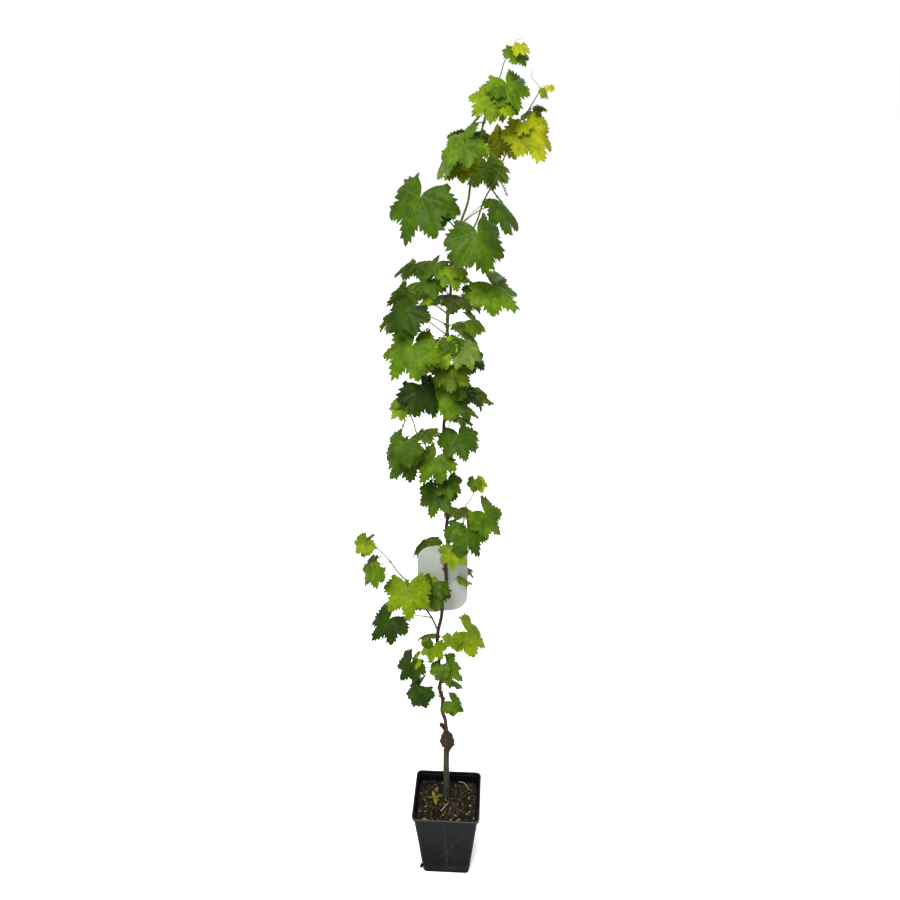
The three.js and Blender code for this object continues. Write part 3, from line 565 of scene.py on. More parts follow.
def tube(p, radii, sides=6, relief=None):
    """A closed tube along the points: vertices and triangles. relief(k, angles) scales the ring's radii."""
    p = np.asarray(p, float)
    n = len(p)
    radii = np.broadcast_to(np.asarray(radii, float), (n,))
    d, a, b = frames_along(p)
    ang = np.arange(sides) / sides * 2 * math.pi
    rows = []
    for k in range(n):
        r = radii[k] * (relief(k, ang) if relief else 1.0)
        rows.append(p[k] + (np.cos(ang) * r)[:, None] * a[k] + (np.sin(ang) * r)[:, None] * b[k])
    v = np.concatenate(rows + [p[:1] - d[0] * radii[0] * 0.35, p[-1:] + d[-1] * radii[-1] * 0.35])
    i = np.arange(sides)
    j = (i + 1) % sides
    f = []
    for k in range(n - 1):
        f.append(np.stack([k * sides + i, k * sides + j, (k + 1) * sides + j], 1))
        f.append(np.stack([k * sides + i, (k + 1) * sides + j, (k + 1) * sides + i], 1))
    s, e = n * sides, n * sides + 1
    f.append(np.stack([j, i, np.full(sides, s)], 1))
    f.append(np.stack([(n - 1) * sides + i, (n - 1) * sides + j, np.full(sides, e)], 1))
    return v, np.concatenate(f)


def loft(rings, cap=True):
    """Closed skin through rings of equal count; ends closed by a fan round their middles."""
    n = len(rings[0])
    v = np.concatenate(rings)
    i = np.arange(n)
    j = (i + 1) % n
    f = []
    for k in range(len(rings) - 1):
        f.append(np.stack([k * n + i, k * n + j, (k + 1) * n + j], 1))
        f.append(np.stack([k * n + i, (k + 1) * n + j, (k + 1) * n + i], 1))
    if cap:
        v = np.vstack([v, rings[0].mean(0), rings[-1].mean(0)])
        f.append(np.stack([j, i, np.full(n, len(v) - 2)], 1))
        top = (len(rings) - 1) * n
        f.append(np.stack([top + i, top + j, np.full(n, len(v) - 1)], 1))
    return v, np.concatenate(f)


def ball(centre, r, stretch=(1, 1, 1), rows=4, cols=6, axis=None):
    """A small closed ellipsoid; axis is the direction of its z."""
    rings = []
    for k in range(1, rows):
        th = math.pi * k / rows
        a = np.arange(cols) / cols * 2 * math.pi + (k % 2) * math.pi / cols
        rings.append(np.stack([np.sin(th) * np.cos(a), np.sin(th) * np.sin(a), np.full(cols, -np.cos(th))], 1))
    v, f = loft(rings)
    v[-2], v[-1] = (0, 0, -1), (0, 0, 1)
    v = v * np.asarray(stretch) * r
    if axis is not None:
        z = unit(np.asarray(axis, float))
        x = unit(np.cross([0.0, 1.0, 0.0] if abs(z[1]) < 0.9 else [1.0, 0.0, 0.0], z))
        v = v @ np.array([x, np.cross(z, x), z])
    return v + np.asarray(centre), f


def bumps(p, scale, seed=0.0):
    """Smooth noise from -1 to 1 at each point."""
    return np.array([noise.noise(Vector((x * scale + seed, y * scale - seed, z * scale + 2 * seed))) for x, y, z in p])


# ---------------------------------------------------------------- shoots: centre lines
PATH = {k: smooth_path(nodes, 0.0025 if k in ("rootstock", "graft_union") else 0.003) for k, (_, nodes) in SHOOTS.items()}


def at_share(name, share):
    """Point and direction at a share of the length of a shoot's straight-segment line, moved on to its smooth line."""
    nodes = np.array(SHOOTS[name][1], float)
    seg = np.linalg.norm(np.diff(nodes, axis=0), axis=1)
    x = share * seg.sum()
    for i, s in enumerate(seg):
        if x <= s or i == len(seg) - 1:
            p = nodes[i] + (nodes[i + 1] - nodes[i]) * min(1.0, x / s)
            break
        x -= s
    path = PATH[name]
    k = int(np.argmin(np.linalg.norm(path - p, axis=1)))
    d = unit(path[min(len(path) - 1, k + 1)] - path[max(0, k - 1)])
    return path[k], d, k


# ---------------------------------------------------------------- leaf templates
def inside(points, poly):
    x, y = points[:, 0], points[:, 1]
    result = np.zeros(len(points), bool)
    q = np.roll(poly, -1, axis=0)
    for (x0, y0), (x1, y1) in zip(poly, q):
        if y0 != y1:
            hit = (y0 > y) != (y1 > y)
            result ^= hit & (x < (x1 - x0) * (y - y0) / (y1 - y0) + x0)
    return result


def segment_distance(p, a, b):
    d = b - a
    t = np.clip(((p[:, None, :] - a) * d).sum(2) / np.maximum(1e-12, (d * d).sum(1)), 0, 1)
    near = a + t[..., None] * d
    return np.linalg.norm(p[:, None, :] - near, axis=2).min(1)


def leaf_template(seed, detail):
    """A flat leaf of length 1: points, triangles, which points are on the rim, how far each is raised between the veins, and the veins."""
    rg, rim, origin, marks_r, marks_l = leaf_rim(seed, detail)
    grid = DETAIL[detail][1]
    polar = lambda a, r, s: np.array([math.cos(math.radians(a)) * r, s * math.sin(math.radians(a)) * r])
    veins = []     # (points, width at the foot)
    for side, marks in ((1, marks_r), (-1, marks_l)):
        tips = [m for m in marks if m[2] > 0][1:]
        main = [np.array([0.0, 0.0])]
        ribs = [([polar(0, u, 1) for u in np.linspace(0, 0.97, 9)], 1.0)] if side == 1 else []
        for (a, r, _), bend in zip(tips, (5, 4, 6)):
            ribs.append(([polar(a + bend * (1 - u) * (1 if a < 120 else -0.6), r * 0.95 * u, side) for u in np.linspace(0, 1, 7)], 0.82 if a < 120 else 0.6))
        veins += ribs
        if detail == "small":
            continue
        mains = [(np.array(p), wd) for p, wd in ribs]
        if side == -1:
            mains.insert(0, (np.array([polar(0, u, 1) for u in np.linspace(0, 0.97, 9)]), 1.0))
        for which, (p, wd) in enumerate(mains[:3]):
            seg = p[-1] - p[0]
            length = np.linalg.norm(seg)
            d = seg / length
            for turn in ((side,) if which == 0 else (1, -1)):
                n = {0: 5, 1: 4, 2: 3}[which]
                for k in range(n):
                    u = 0.20 + 0.70 * k / n + rg.uniform(-0.02, 0.02)
                    start = p[0] + seg * u
                    ang = math.radians((46 - 10 * u) * turn)
                    e = np.array([d[0] * math.cos(ang) - d[1] * math.sin(ang), d[0] * math.sin(ang) + d[1] * math.cos(ang)])
                    best = 0.0
                    reach = length * (0.34 if which else 0.42) * (1.15 - 0.75 * u)
                    for s in np.linspace(0.02, reach, 10):
                        q = start + e * s
                        if not inside(q[None], rim)[0]:
                            break
                        if k >= 0 and any(segment_distance(q[None], m[:-1], m[1:])[0] < 0.03 for i, (m, _) in enumerate(mains) if i != which):
                            break
                        best = s
                    if best > 0.07:
                        steps = 4 if detail == "large" else 3
                        bend = d * 0.10
                        veins.append(([start + (e + bend * (s / best)) * s * 0.93 for s in np.linspace(0, best, steps)], 0.42))
    verts = [tuple(p) for p in rim]
    edges = [(i, (i + 1) % len(rim)) for i in range(len(rim))]
    for pts, _ in veins:
        before = None
        for p in pts:
            if np.linalg.norm(p) < 1e-6:
                before = origin
                continue
            verts.append(tuple(p))
            if before is not None:
                edges.append((before, len(verts) - 1))
            before = len(verts) - 1
    fixed = np.array(verts)
    xs = np.arange(-0.7, 1.05, grid)
    ys = np.arange(-1.0, 1.0, grid * 0.866)
    cloud = np.array([(x + (grid / 2 if k % 2 else 0), y) for k, y in enumerate(ys) for x in xs])
    cloud = cloud + rg.uniform(-0.12, 0.12, cloud.shape) * grid
    cloud = cloud[inside(cloud, rim)]
    cloud = cloud[np.linalg.norm(cloud[:, None] - fixed[None], axis=2).min(1) > grid * 0.62]
    cloud = cloud[segment_distance(cloud, rim, np.roll(rim, -1, axis=0)) > grid * 0.42]
    verts = [Vector(v) for v in verts] + [Vector(v) for v in cloud]
    v2, _, faces, ids, _, _ = delaunay_2d_cdt(verts, edges, [], 1, 1e-5)
    p = np.array([tuple(v) for v in v2])
    faces = np.array([f for f in faces if len(f) == 3])
    on_rim = np.array([any(i < len(rim) for i in o) for o in ids])
    a = np.concatenate([np.array(x)[:-1] for x, _ in veins])
    b = np.concatenate([np.array(x)[1:] for x, _ in veins])
    dv = segment_distance(p, a, b)
    big = np.concatenate([np.array(x)[:-1] for x, wd in veins if wd > 0.5])
    big2 = np.concatenate([np.array(x)[1:] for x, wd in veins if wd > 0.5])
    dm = segment_distance(p, big, big2)
    dr = segment_distance(p, rim, np.roll(rim, -1, axis=0))
    quilt = (1 - np.exp(-((dv / 0.034) ** 2))) * 0.55 + (1 - np.exp(-((dm / 0.055) ** 2))) * 0.45
    quilt *= 1 - np.exp(-dr / 0.05)
    tri = p[faces]
    area = np.cross(tri[:, 1] - tri[:, 0], tri[:, 2] - tri[:, 0])
    faces[area < 0] = faces[area < 0][:, ::-1]
    e = np.concatenate([faces[:, [0, 1]], faces[:, [1, 2]], faces[:, [2, 0]]])
    seen = {(x, y) for x, y in e}
    edge = np.array([(x, y) for x, y in e if (y, x) not in seen])
    used = np.unique(faces)
    number = np.full(len(p), -1)
    number[used] = np.arange(len(used))
    return {"p": p[used], "f": number[faces], "edge": number[edge], "quilt": quilt[used], "veins": veins, "dr": dr[used]}


TEMPLATES = {k: [leaf_template(first + i, k) for i in range(n + m)] for k, (first, n, m) in FIRST_SEED.items()}


# ---------------------------------------------------------------- one leaf
def add_leaf(piece, J, t, r, l, length, width, side, upper, under, seed, curl=1.0, veins=True):
    """Adds one blade. t is the midrib's direction, r and l the two halves' side directions, side +1 if the upper face is on the t x r side.
    upper and under are the colour letters of the (right, left) halves."""
    detail = detail_for(length)
    choices = TEMPLATES[detail]
    tp = choices[outline_of(seed, detail)]
    surface, flip = blade_shape(J, t, r, l, length, width, side, seed, curl)
    p = tp["p"] * (1, flip)
    f, edge = (tp["f"], tp["edge"]) if (flip == 1) == (side > 0) else (tp["f"][:, ::-1], tp["edge"][:, ::-1])
    half = (BLADE - RIM) * np.clip(tp["dr"] / 0.05, 0, 1) + RIM
    n = len(p)
    verts = np.vstack([surface(p, tp["quilt"], half), surface(p, tp["quilt"], -half)])
    a, b = edge[:, 0], edge[:, 1]
    walls = np.concatenate([np.stack([b, a, a + n], 1), np.stack([b, a + n, b + n], 1)])
    cy = p[f].mean(1)[:, 1]
    wy = np.tile(p[edge].mean(1)[:, 1], 2)
    mt = np.where(cy > 0, SLOT[upper[0]], SLOT[upper[1]])
    ml = np.where(cy > 0, SLOT[under[0]], SLOT[under[1]])
    mw = np.where(wy > 0, SLOT[upper[0]], SLOT[upper[1]])
    piece.add(verts, np.vstack([f, (f + n)[:, ::-1], walls]), np.concatenate([mt, ml, mw]))
    if not veins:
        return
    tone = SLOT[VEIN_OF[upper[0]]]
    for pts, wd in tp["veins"]:
        if detail != "large" and wd < 0.5:
            continue
        q = np.array(pts) * (1, flip)
        m = len(q)
        u = np.linspace(0, 1, m)
        wide = (0.00024 + 0.0050 * length) * wd * (1 - 0.78 * u) + 0.00005
        wide = np.minimum(wide, 0.0008)
        lift = np.zeros(m)
        d = np.gradient(q, axis=0)
        d /= np.linalg.norm(d, axis=1)[:, None]
        side2 = np.stack([-d[:, 1], d[:, 0]], 1)
        off = side2 * (wide / length)[:, None]
        zero = np.zeros(m)
        ctr = surface(q, lift, zero)
        lft = surface(q + off, lift, zero)
        rgt = surface(q - off, lift, zero)
        above = surface(q, lift, BLADE + wide * 0.42)
        below = surface(q, lift, -(BLADE + wide * 0.85))
        ring = np.stack([lft, below, rgt, above], 1).reshape(-1, 3)
        i = np.arange(4)
        j = (i + 1) % 4
        ff = []
        for k in range(m - 1):
            ff.append(np.stack([k * 4 + i, k * 4 + j, (k + 1) * 4 + j], 1))
            ff.append(np.stack([k * 4 + i, (k + 1) * 4 + j, (k + 1) * 4 + i], 1))
        ff.append(np.array([[2, 1, 0], [3, 2, 0]]))
        e = (m - 1) * 4
        ff.append(np.array([[e, e + 1, e + 2], [e, e + 2, e + 3]]))
        ff = np.concatenate(ff)
        # outward winding
        c = ring.mean(0)
        tri = ring[ff]
        vol = np.einsum("ij,ij->i", tri[:, 0] - c, np.cross(tri[:, 1] - c, tri[:, 2] - c)).sum()
        if vol < 0:
            ff = ff[:, ::-1]
        piece.add(ring, ff, tone)


# ---------------------------------------------------------------- the foliage
REGIONS = {
    "foliage_crown": ["tip_right", "crown_right", "leader_low", "leader_bud", "leader_leaf", "crown_left", "crown_back", "crown_pale", "side_left", "right_upper", "right_lower", "tangle", "back_crown", "back_upper"],
    "foliage_middle": ["left_middle", "left_big", "front_a", "front_b", "right_pale", "left_dark", "left_tip", "front_c", "right_dark", "front_d", "midleft_leaf", "front_f", "back_upper_middle", "back_middle"],
    "foliage_low": ["right_tip", "right_leaf", "front_h", "lowleft_tip", "lowleft_edge", "lowleft_leaf", "front_dark", "lowleft_side", "low_right", "low_front", "low_left", "low_middle", "low_left_b", "low_right_b", "back_lower_middle", "back_low"],
}
foliage = {k: Piece(k, leaf_mats, "foliage", math.radians(70)) for k in REGIONS}


def region(z):
    return foliage["foliage_crown" if z > 1.36 else "foliage_middle" if z > 1.0 else "foliage_low"]


twig_mats = []
for name, c in (("twig_green", srgb(112, 132, 40)), ("twig_red", srgb(112, 78, 44)), ("twig_brown", srgb(66, 44, 34)), ("tendril", srgb(150, 150, 84)), ("bud_green", srgb(58, 84, 28))):
    c = shade(c, 0.5)
    tm = Nodes(name, rough=0.5, spec=0.15)
    tm.colour(tm.ramp(tm.noise(170, 3, 0.6, tm.mapped((1, 1, 0.3))), [(0.3, shade(c, 0.8)), (0.7, shade(c, 1.18))]))
    tm.bump(tm.noise(900, 2, 0.5, tm.mapped((1, 1, 0.2))), 0.3, 0.0002)
    twig_mats.append(tm.mat)
TWIG = {"green": 0, "red": 1, "brown": 2, "tendril": 3, "bud": 4}
twigs = Piece("leaf_stalks", twig_mats, "green_bark")
blossom = Piece("flower_buds", twig_mats, "foliage")
joints = {k: [] for k in SHOOTS}     # shares where leaves leave each shoot


def stalk(A, J, t, up, length, mids, seed, tone="green"):
    """A leaf stalk from the shoot to the blade, thick at both ends, with a small bow."""
    rg = np.random.default_rng(seed + 900)
    span = np.linalg.norm(J - A)
    if mids:
        pts = [J] + [np.array(m) for m in mids] + [A]
        pts = pts[::-1]
    else:
        side = unit(np.cross(J - A, [0, 0, 1.0]) + 1e-6)
        mid = A * 0.5 + J * 0.5 + np.array([0, 0, 1.0]) * span * rg.uniform(0.02, 0.09) + side * span * rg.uniform(-0.05, 0.05)
        pts = [A, mid, J]
    end = J + t * min(0.002, length * 0.05) - up * 0.0003
    pts[-1] = end
    p = smooth_path(pts, max(0.0025, span / 14))
    u = np.linspace(0, 1, len(p))
    r = min(0.00125, 0.00045 + 0.0105 * length)
    rr = r * (1 - 0.22 * u) * (1 + 0.45 * np.exp(-u * 14)) * (1 + 0.30 * np.exp(-(1 - u) * 18))
    v, f = tube(p, rr, 6)
    twigs.add(v, f, TWIG[tone])


def deal(tint, roll):
    pool = [k for k, n in TINTS[tint] for _ in range(n)]
    return pool[min(len(pool) - 1, int(roll() * len(pool)))]


def blade_lines(turn, droop, open_y, fold):
    """Midrib, half directions, face and side of a blade that droops with its face pulled to the open side."""
    t = np.array([math.cos(turn) * math.cos(droop), math.sin(turn) * math.cos(droop), -math.sin(droop)])
    up = unit(np.array([0, 0, 1.0]) - t * t[2])
    light = np.array([0, open_y, 0.6])
    n = unit(up + LIGHT_PULL * (light - t * (light @ t)))
    s = unit(np.cross(t, n))
    f = math.radians(fold)
    r, l = s * math.cos(f) - n * math.sin(f), -s * math.cos(f) - n * math.sin(f)
    return t, r, l, n, 1 if unit(np.cross(t, r)) @ n > 0 else -1


def put_leaf(A, J, turn, droop, length, open_y, tone, seed, curl=1.15, red=False):
    fold = FOLD * (0.6 + 1.4 * ((seed * 37) % 101) / 101)     # some blades nearly flat, some folded along the midrib
    t, r, l, n, side = blade_lines(turn, droop, open_y, fold)
    add_leaf(region(J[2]), J, t, r, l, length, length * WIDTH, side, (tone, tone), (UNDER[tone], UNDER[tone]), seed, curl)
    stalk(A, J, t, n, length, [], seed, "red" if red else "green")


n_leaf = 0
for m_no, (mass, (limb, first, last, turn0, lift0, reach0, len0, count, droop0, small, tint)) in enumerate(MASSES.items()):
    roll = dice(101 + 17 * m_no)
    extra = dice(9001 + 31 * m_no)
    feet = []
    for k in range(count):
        share = first + (last - first) * (k / (count - 1) if count > 1 else 0.5)
        side = 1 if k % 2 else -1
        turn = turn0 + (side * SPREAD * (0.6 + 0.6 * roll()) if count > 1 else (roll() - 0.5) * 16)
        reach = reach0 * (0.85 + 0.3 * roll()) / 1000
        length = len0 * (1 - 0.25 * k / count) * (0.94 + 0.12 * roll()) / 1000
        lift, droop, swing = lift0 + (roll() - 0.5) * 14, droop0 + (roll() - 0.5) * 18, (roll() - 0.5) * 50
        foot = on_limb(limb, share)
        ta, la = math.radians(turn), math.radians(lift)
        J = foot + reach * np.array([math.cos(ta) * math.cos(la), math.sin(ta) * math.cos(la), math.sin(la)])
        open_y = 0.8 if math.sin(ta) > 0.3 else -0.8
        A, _, kk = at_share(limb, share)
        joints[limb].append(kk)
        put_leaf(A, J, math.radians(turn + swing), math.radians(droop), length, open_y, deal(tint, extra), 1000 + n_leaf * 7, red=n_leaf % 5 == 2)
        feet.append((A, turn, lift, reach, length, open_y))
        n_leaf += 1
    # a lateral twig in a leaf's angle, with small leaves turn about
    if small:
        A, turn, lift, reach, length, open_y = feet[int(extra() * len(feet))]
        ta, la = math.radians(turn + (extra() - 0.5) * 60), math.radians(lift + 12)
        span = min(0.045, max(0.012, reach * 0.6)) * (0.8 + 0.4 * extra())
        way = np.array([math.cos(ta) * math.cos(la), math.sin(ta) * math.cos(la), math.sin(la)])
        B = A + way * span
        v, f = tube(smooth_path([A, (A + B) / 2 + [0, 0, 0.0015], B], 0.003), 0.0006, 5)
        twigs.add(v, f, TWIG["green"])
        for q in range(small):
            P = A + (B - A) * (0.45 + 0.55 * (q + 1) / small)
            tq = ta + (1 if q % 2 else -1) * (0.6 + 0.5 * extra())
            size = min(0.015 + 0.017 * extra(), len0 * 0.0007)
            pet = size * (0.45 + 0.3 * extra())
            J = P + np.array([math.cos(tq), math.sin(tq), 0.45]) * pet
            # small leaves on twigs take the young tint or the tint of painted light
            put_leaf(P, J, tq, math.radians(droop0 * 0.7 + 10 * extra()), size, open_y, deal("young" if tint == "young" else "painted_sunlit", extra), 1000 + n_leaf * 7)
            n_leaf += 1

# tendrils: from a shoot's tip or a joint, rising and curling at the end
for q, (limb, share) in enumerate((("tip_fork_right", 1.0), ("second_leader", 1.0), ("second_leader", 0.75), ("shoot_low_left", 0.98), ("stem_top", 0.3), ("stem_top", 0.97), ("shoot_right", 0.9), ("shoot_middle_left", 0.97))):
    roll = dice(501 + 13 * q)
    A = on_limb(limb, share)
    ta, span = roll() * 6.28, 0.016 + 0.022 * roll()
    out = np.array([math.cos(ta), math.sin(ta), 0.9])
    pts = [A + out * span * u + np.array([math.sin(ta), -math.cos(ta), 0.2]) * 0.006 * math.sin(u * u * 5.2) for u in np.linspace(0, 1, 7)]
    p = smooth_path(pts, 0.002)
    v, f = tube(p, 0.0005 * (1 - 0.5 * np.linspace(0, 1, len(p))), 5)
    twigs.add(v, f, TWIG["tendril"])

# flower clusters: buds set round a thin hanging axis
for q, (limb, share, turn, long_, count) in enumerate((("shoot_middle_left", 0.9, -160, 0.042, 40), ("stem_upper", 0.72, -120, 0.050, 50), ("second_leader", 0.55, -30, 0.026, 20), ("shoot_low_left", 0.6, -160, 0.030, 18))):
    rg = np.random.default_rng(600 + q)
    A, ta = on_limb(limb, share), math.radians(turn)
    p = smooth_path([A + np.array([math.cos(ta), math.sin(ta), 0]) * 0.022 * u - np.array([0, 0, 1.0]) * long_ * u * u for u in np.linspace(0, 1, 5)], 0.002)
    v, f = tube(p, np.linspace(0.0007, 0.0004, len(p)), 5)
    blossom.add(v, f, TWIG["green"])
    for c in range(count):
        u = 0.25 + 0.75 * (c + 0.5) / count
        k = min(len(p) - 1, int(u * (len(p) - 1) + 0.5))
        out = unit(np.array([math.cos(c * 2.4), math.sin(c * 2.4), rg.uniform(-0.5, 0.3)]))
        e = p[k] + out * 0.0032 * rg.uniform(0.45, 1.0) * (1.15 - 0.6 * u)
        v, f = tube(np.array([p[k], (p[k] + e) / 2 + [0, 0, 0.0002], e]), 0.00025, 4)
        blossom.add(v, f, TWIG["green"])
        v, f = ball(e, rg.uniform(0.0008, 0.00125), (1, 1, 1.25), 4, 6, out)
        blossom.add(v, f, TWIG["bud"])

# ---------------------------------------------------------------- stems with their bark
def stem_material(name, low, high, z0, z1, rough, relief, scale):
    """Bark with long dark streaks and pale streaks of painted highlight, shading from one colour to the other between
    two heights.
    """
    gain = {"bark_green": 0.62, "bark_side": 0.56, "bark_upper": 0.45}.get(name, BARK_GAIN)
    low, high = shade(low, gain), shade(high, gain)
    m = Nodes(name, rough=rough, spec=0.12)
    sep = m.node("ShaderNodeSeparateXYZ")
    m.link(m.coord.outputs["Object"], sep.inputs["Vector"])
    g = m.math("MULTIPLY", m.math("SUBTRACT", sep.outputs["Z"], z0), 1.0 / max(1e-6, z1 - z0), True)
    g = m.math("ADD", g, m.math("MULTIPLY", m.math("SUBTRACT", m.noise(30, 3), 0.5), 0.35), True)
    base = m.mix(g, low, high)
    streak = m.noise(scale, 4, 0.65, m.mapped((1, 1, 0.10)))
    dark = m.mix(m.math("MULTIPLY", m.math("SUBTRACT", streak, 0.42, True), 3.2, True), m.mix(0.55, base, (0.006, 0.004, 0.003)), base)
    # painted highlight: pale streaks mixed towards a light tone along the bark
    pale = m.math("MULTIPLY", m.math("SUBTRACT", m.noise(scale * 2.6, 2, 0.5, m.mapped((1, 1, 0.35))), 0.60, True), 3.0, True)
    m.colour(m.mix(pale, dark, m.mix(0.35, base, (0.16, 0.14, 0.10))))
    m.bump(m.math("ADD", streak, m.math("MULTIPLY", m.noise(scale * 4, 3), 0.4)), relief, 0.0006)
    return m.mat


bark = {
    "stock": stem_material("bark_stock", srgb(84, 92, 70), srgb(100, 108, 80), 0.16, 0.32, 0.8, 0.9, 260),
    "graft": stem_material("bark_graft", srgb(88, 84, 68), srgb(84, 66, 54), 0.30, 0.37, 0.8, 1.0, 220),
    "cane": stem_material("bark_cane", srgb(100, 52, 36), srgb(94, 60, 34), 0.4, 1.0, 0.55, 0.55, 420),
    "upper": stem_material("bark_upper", srgb(82, 52, 30), srgb(98, 110, 34), 1.12, 1.28, 0.5, 0.4, 420),
    "green": stem_material("bark_green", srgb(96, 112, 34), srgb(112, 128, 36), 1.4, 1.7, 0.45, 0.35, 420),
    "side": stem_material("bark_side", srgb(104, 84, 42), srgb(110, 128, 40), 0.65, 0.80, 0.5, 0.4, 420),
}
STEM_BARK = {
    "rootstock": "stock", "graft_union": "graft", "stem_lower": "cane", "stem_middle": "cane", "stem_upper": "upper", "stem_top": "green",
    "tip_fork_left": "green", "tip_fork_right": "green", "second_leader": "green", "side_shoot_top": "green",
    "shoot_low_left": "side", "shoot_right": "side", "shoot_middle_left": "side",
}
SLOT_OF = {"stock": "stock_bark", "graft": "graft_bark", "cane": "cane_bark", "upper": "green_bark", "green": "green_bark", "side": "green_bark"}
GRAFT_MARKS = [0, 0.18, 0.32, 0.55, 0.78, 1.0]
GRAFT_RADII = [0.0068, 0.0074, 0.0132, 0.0146, 0.0116, 0.0048]

for s_no, (name, ((r0, r1), nodes)) in enumerate(SHOOTS.items()):
    p = PATH[name]
    if name == "rootstock":
        p = np.vstack([p[:1] - [0, 0, 0.004], p])     # its foot is in the soil
    n = len(p)
    seg = np.r_[0, np.cumsum(np.linalg.norm(np.diff(p, axis=0), axis=1))]
    u = seg / seg[-1]
    if name == "graft_union":
        radii = np.interp(u, GRAFT_MARKS, GRAFT_RADII)
        radii = np.convolve(np.pad(radii, 3, mode="edge"), np.ones(7) / 7, "valid")
    else:
        radii = (r0 + (r1 - r0) * u) / 1000
    if name == "rootstock":
        radii = radii * (1 + 0.45 * np.exp(-u * 16))
    thick = radii.mean()
    rg = np.random.default_rng(40 + s_no)
    # a ring of swelling at each leaf joint
    for k in joints[name]:
        x = seg - seg[min(n - 1, k)]
        radii = radii + 0.28 * min(0.0035, thick) * np.exp(-((x / 0.0035) ** 2))
    sides = 18 if thick > 0.003 else 12 if thick > 0.0015 else 9
    rough = {"stock": 0.10, "graft": 0.42, "cane": 0.065, "upper": 0.045}.get(STEM_BARK[name], 0.03)

    def relief(k, ang, name=name, radii=radii, p=p, rough=rough, seg=seg, s_no=s_no):
        if "graft" in name:
            q = np.stack([np.cos(ang) * 1.2, np.sin(ang) * 1.2, np.full(len(ang), seg[k] * 95)], 1)
            return 1 + rough * bumps(q, 1.3, 3.1) + rough * 0.5 * bumps(q, 3.4, 1.7)
        q = np.stack([np.cos(ang) * 1.6, np.sin(ang) * 1.6, np.full(len(ang), seg[k] * 22)], 1)
        ridges = 0.35 * np.sin(ang * 7 + 2.0 * math.sin(seg[k] * 14 + s_no))
        return 1 + rough * (bumps(q, 1.4, s_no * 2.3) + ridges + 0.5 * bumps(q, 4.2, s_no + 5.0))

    v, f = tube(p, radii, sides, relief)
    piece = Piece("bark_" + name, [bark[STEM_BARK[name]], twig_mats[TWIG["bud"]]], SLOT_OF[STEM_BARK[name]], math.radians(80))
    piece.add(v, f, 0)
    # a bud in each leaf's angle
    d, a, b = frames_along(p)
    for q, k in enumerate(sorted(set(joints[name]))):
        k = min(n - 2, max(1, k))
        ang = rg.uniform(0, 6.28)
        out = a[k] * math.cos(ang) + b[k] * math.sin(ang)
        r = max(0.0009, min(0.0024, radii[k] * 0.6))
        v, f = ball(p[k] + out * radii[k] * 0.95 + d[k] * r * 0.6, r, (1, 1, 1.5), 5, 8, d[k] + out * 0.7)
        piece.add(v, f, 0 if p[k][2] < 1.2 else 1)
    if name == "graft_union":
        for q in range(34):
            k = int(rg.uniform(0.22, 0.86) * n)
            ang = rg.uniform(0, 6.28)
            out = a[k] * math.cos(ang) + b[k] * math.sin(ang)
            v, f = ball(p[k] + out * radii[k] * 0.90, rg.uniform(0.0022, 0.0050), (1, 1, 0.70), 6, 9, out)
            v = v + (bumps(v, 420, q) * 0.0006)[:, None] * out
            piece.add(v, f, 0)
    if name == "stem_lower":
        # the stub of the first shoot, beside the graft
        v, f = tube(smooth_path([p[1], p[1] + [-0.0055, -0.0015, 0.0090], p[1] + [-0.0090, -0.0025, 0.0160]], 0.0015), 0.0042, 9)
        piece.add(v, f, 0)
        v, f = ball(p[1] + [-0.0094, -0.0027, 0.0176], 0.0054, (1, 1, 1.05), 7, 11, (-0.3, -0.1, 1))
        v = v + (bumps(v, 300, 2.0) * 0.0007)[:, None] * np.array([0.6, 0.6, 0.5])
        piece.add(v, f, 0)
        v, f = ball(p[1] + [0.0020, -0.0020, 0.0070], 0.0032, (1, 1, 1.3), 6, 9, (0.8, -0.1, 0.6))
        piece.add(v, f, 0)
    piece.make(name)

# ---------------------------------------------------------------- pot
def square_ring(side, z, per=9, straight=10):
    """Rounded-square ring: per points round each corner and some along each side."""
    r = side * POT_CORNER
    h = side / 2 - r
    pts = []
    for q, (sx, sy) in enumerate(((1, 1), (-1, 1), (-1, -1), (1, -1))):
        for k in range(per):
            a = math.radians(q * 90 + 90 * k / (per - 1))
            pts.append((sx * h + r * math.cos(a), sy * h + r * math.sin(a)))
        nx, ny = ((-1, 1), (-1, -1), (1, -1), (1, 1))[q]
        a = math.radians(q * 90 + 90)
        end = np.array([sx * h + r * math.cos(a), sy * h + r * math.sin(a)])
        start = np.array([nx * h + r * math.cos(a), ny * h + r * math.sin(a)])
        for k in range(1, straight):
            pts.append(tuple(end + (start - end) * k / straight))
    p = np.array(pts)
    c, s = math.cos(POT_TURN), math.sin(POT_TURN)
    return np.stack([p[:, 0] * c - p[:, 1] * s, p[:, 0] * s + p[:, 1] * c, np.full(len(p), z)], 1)


def wall_side(z):
    return POT_FOOT + (POT_NECK - POT_FOOT) * z / (POT_HEIGHT - POT_BAND)


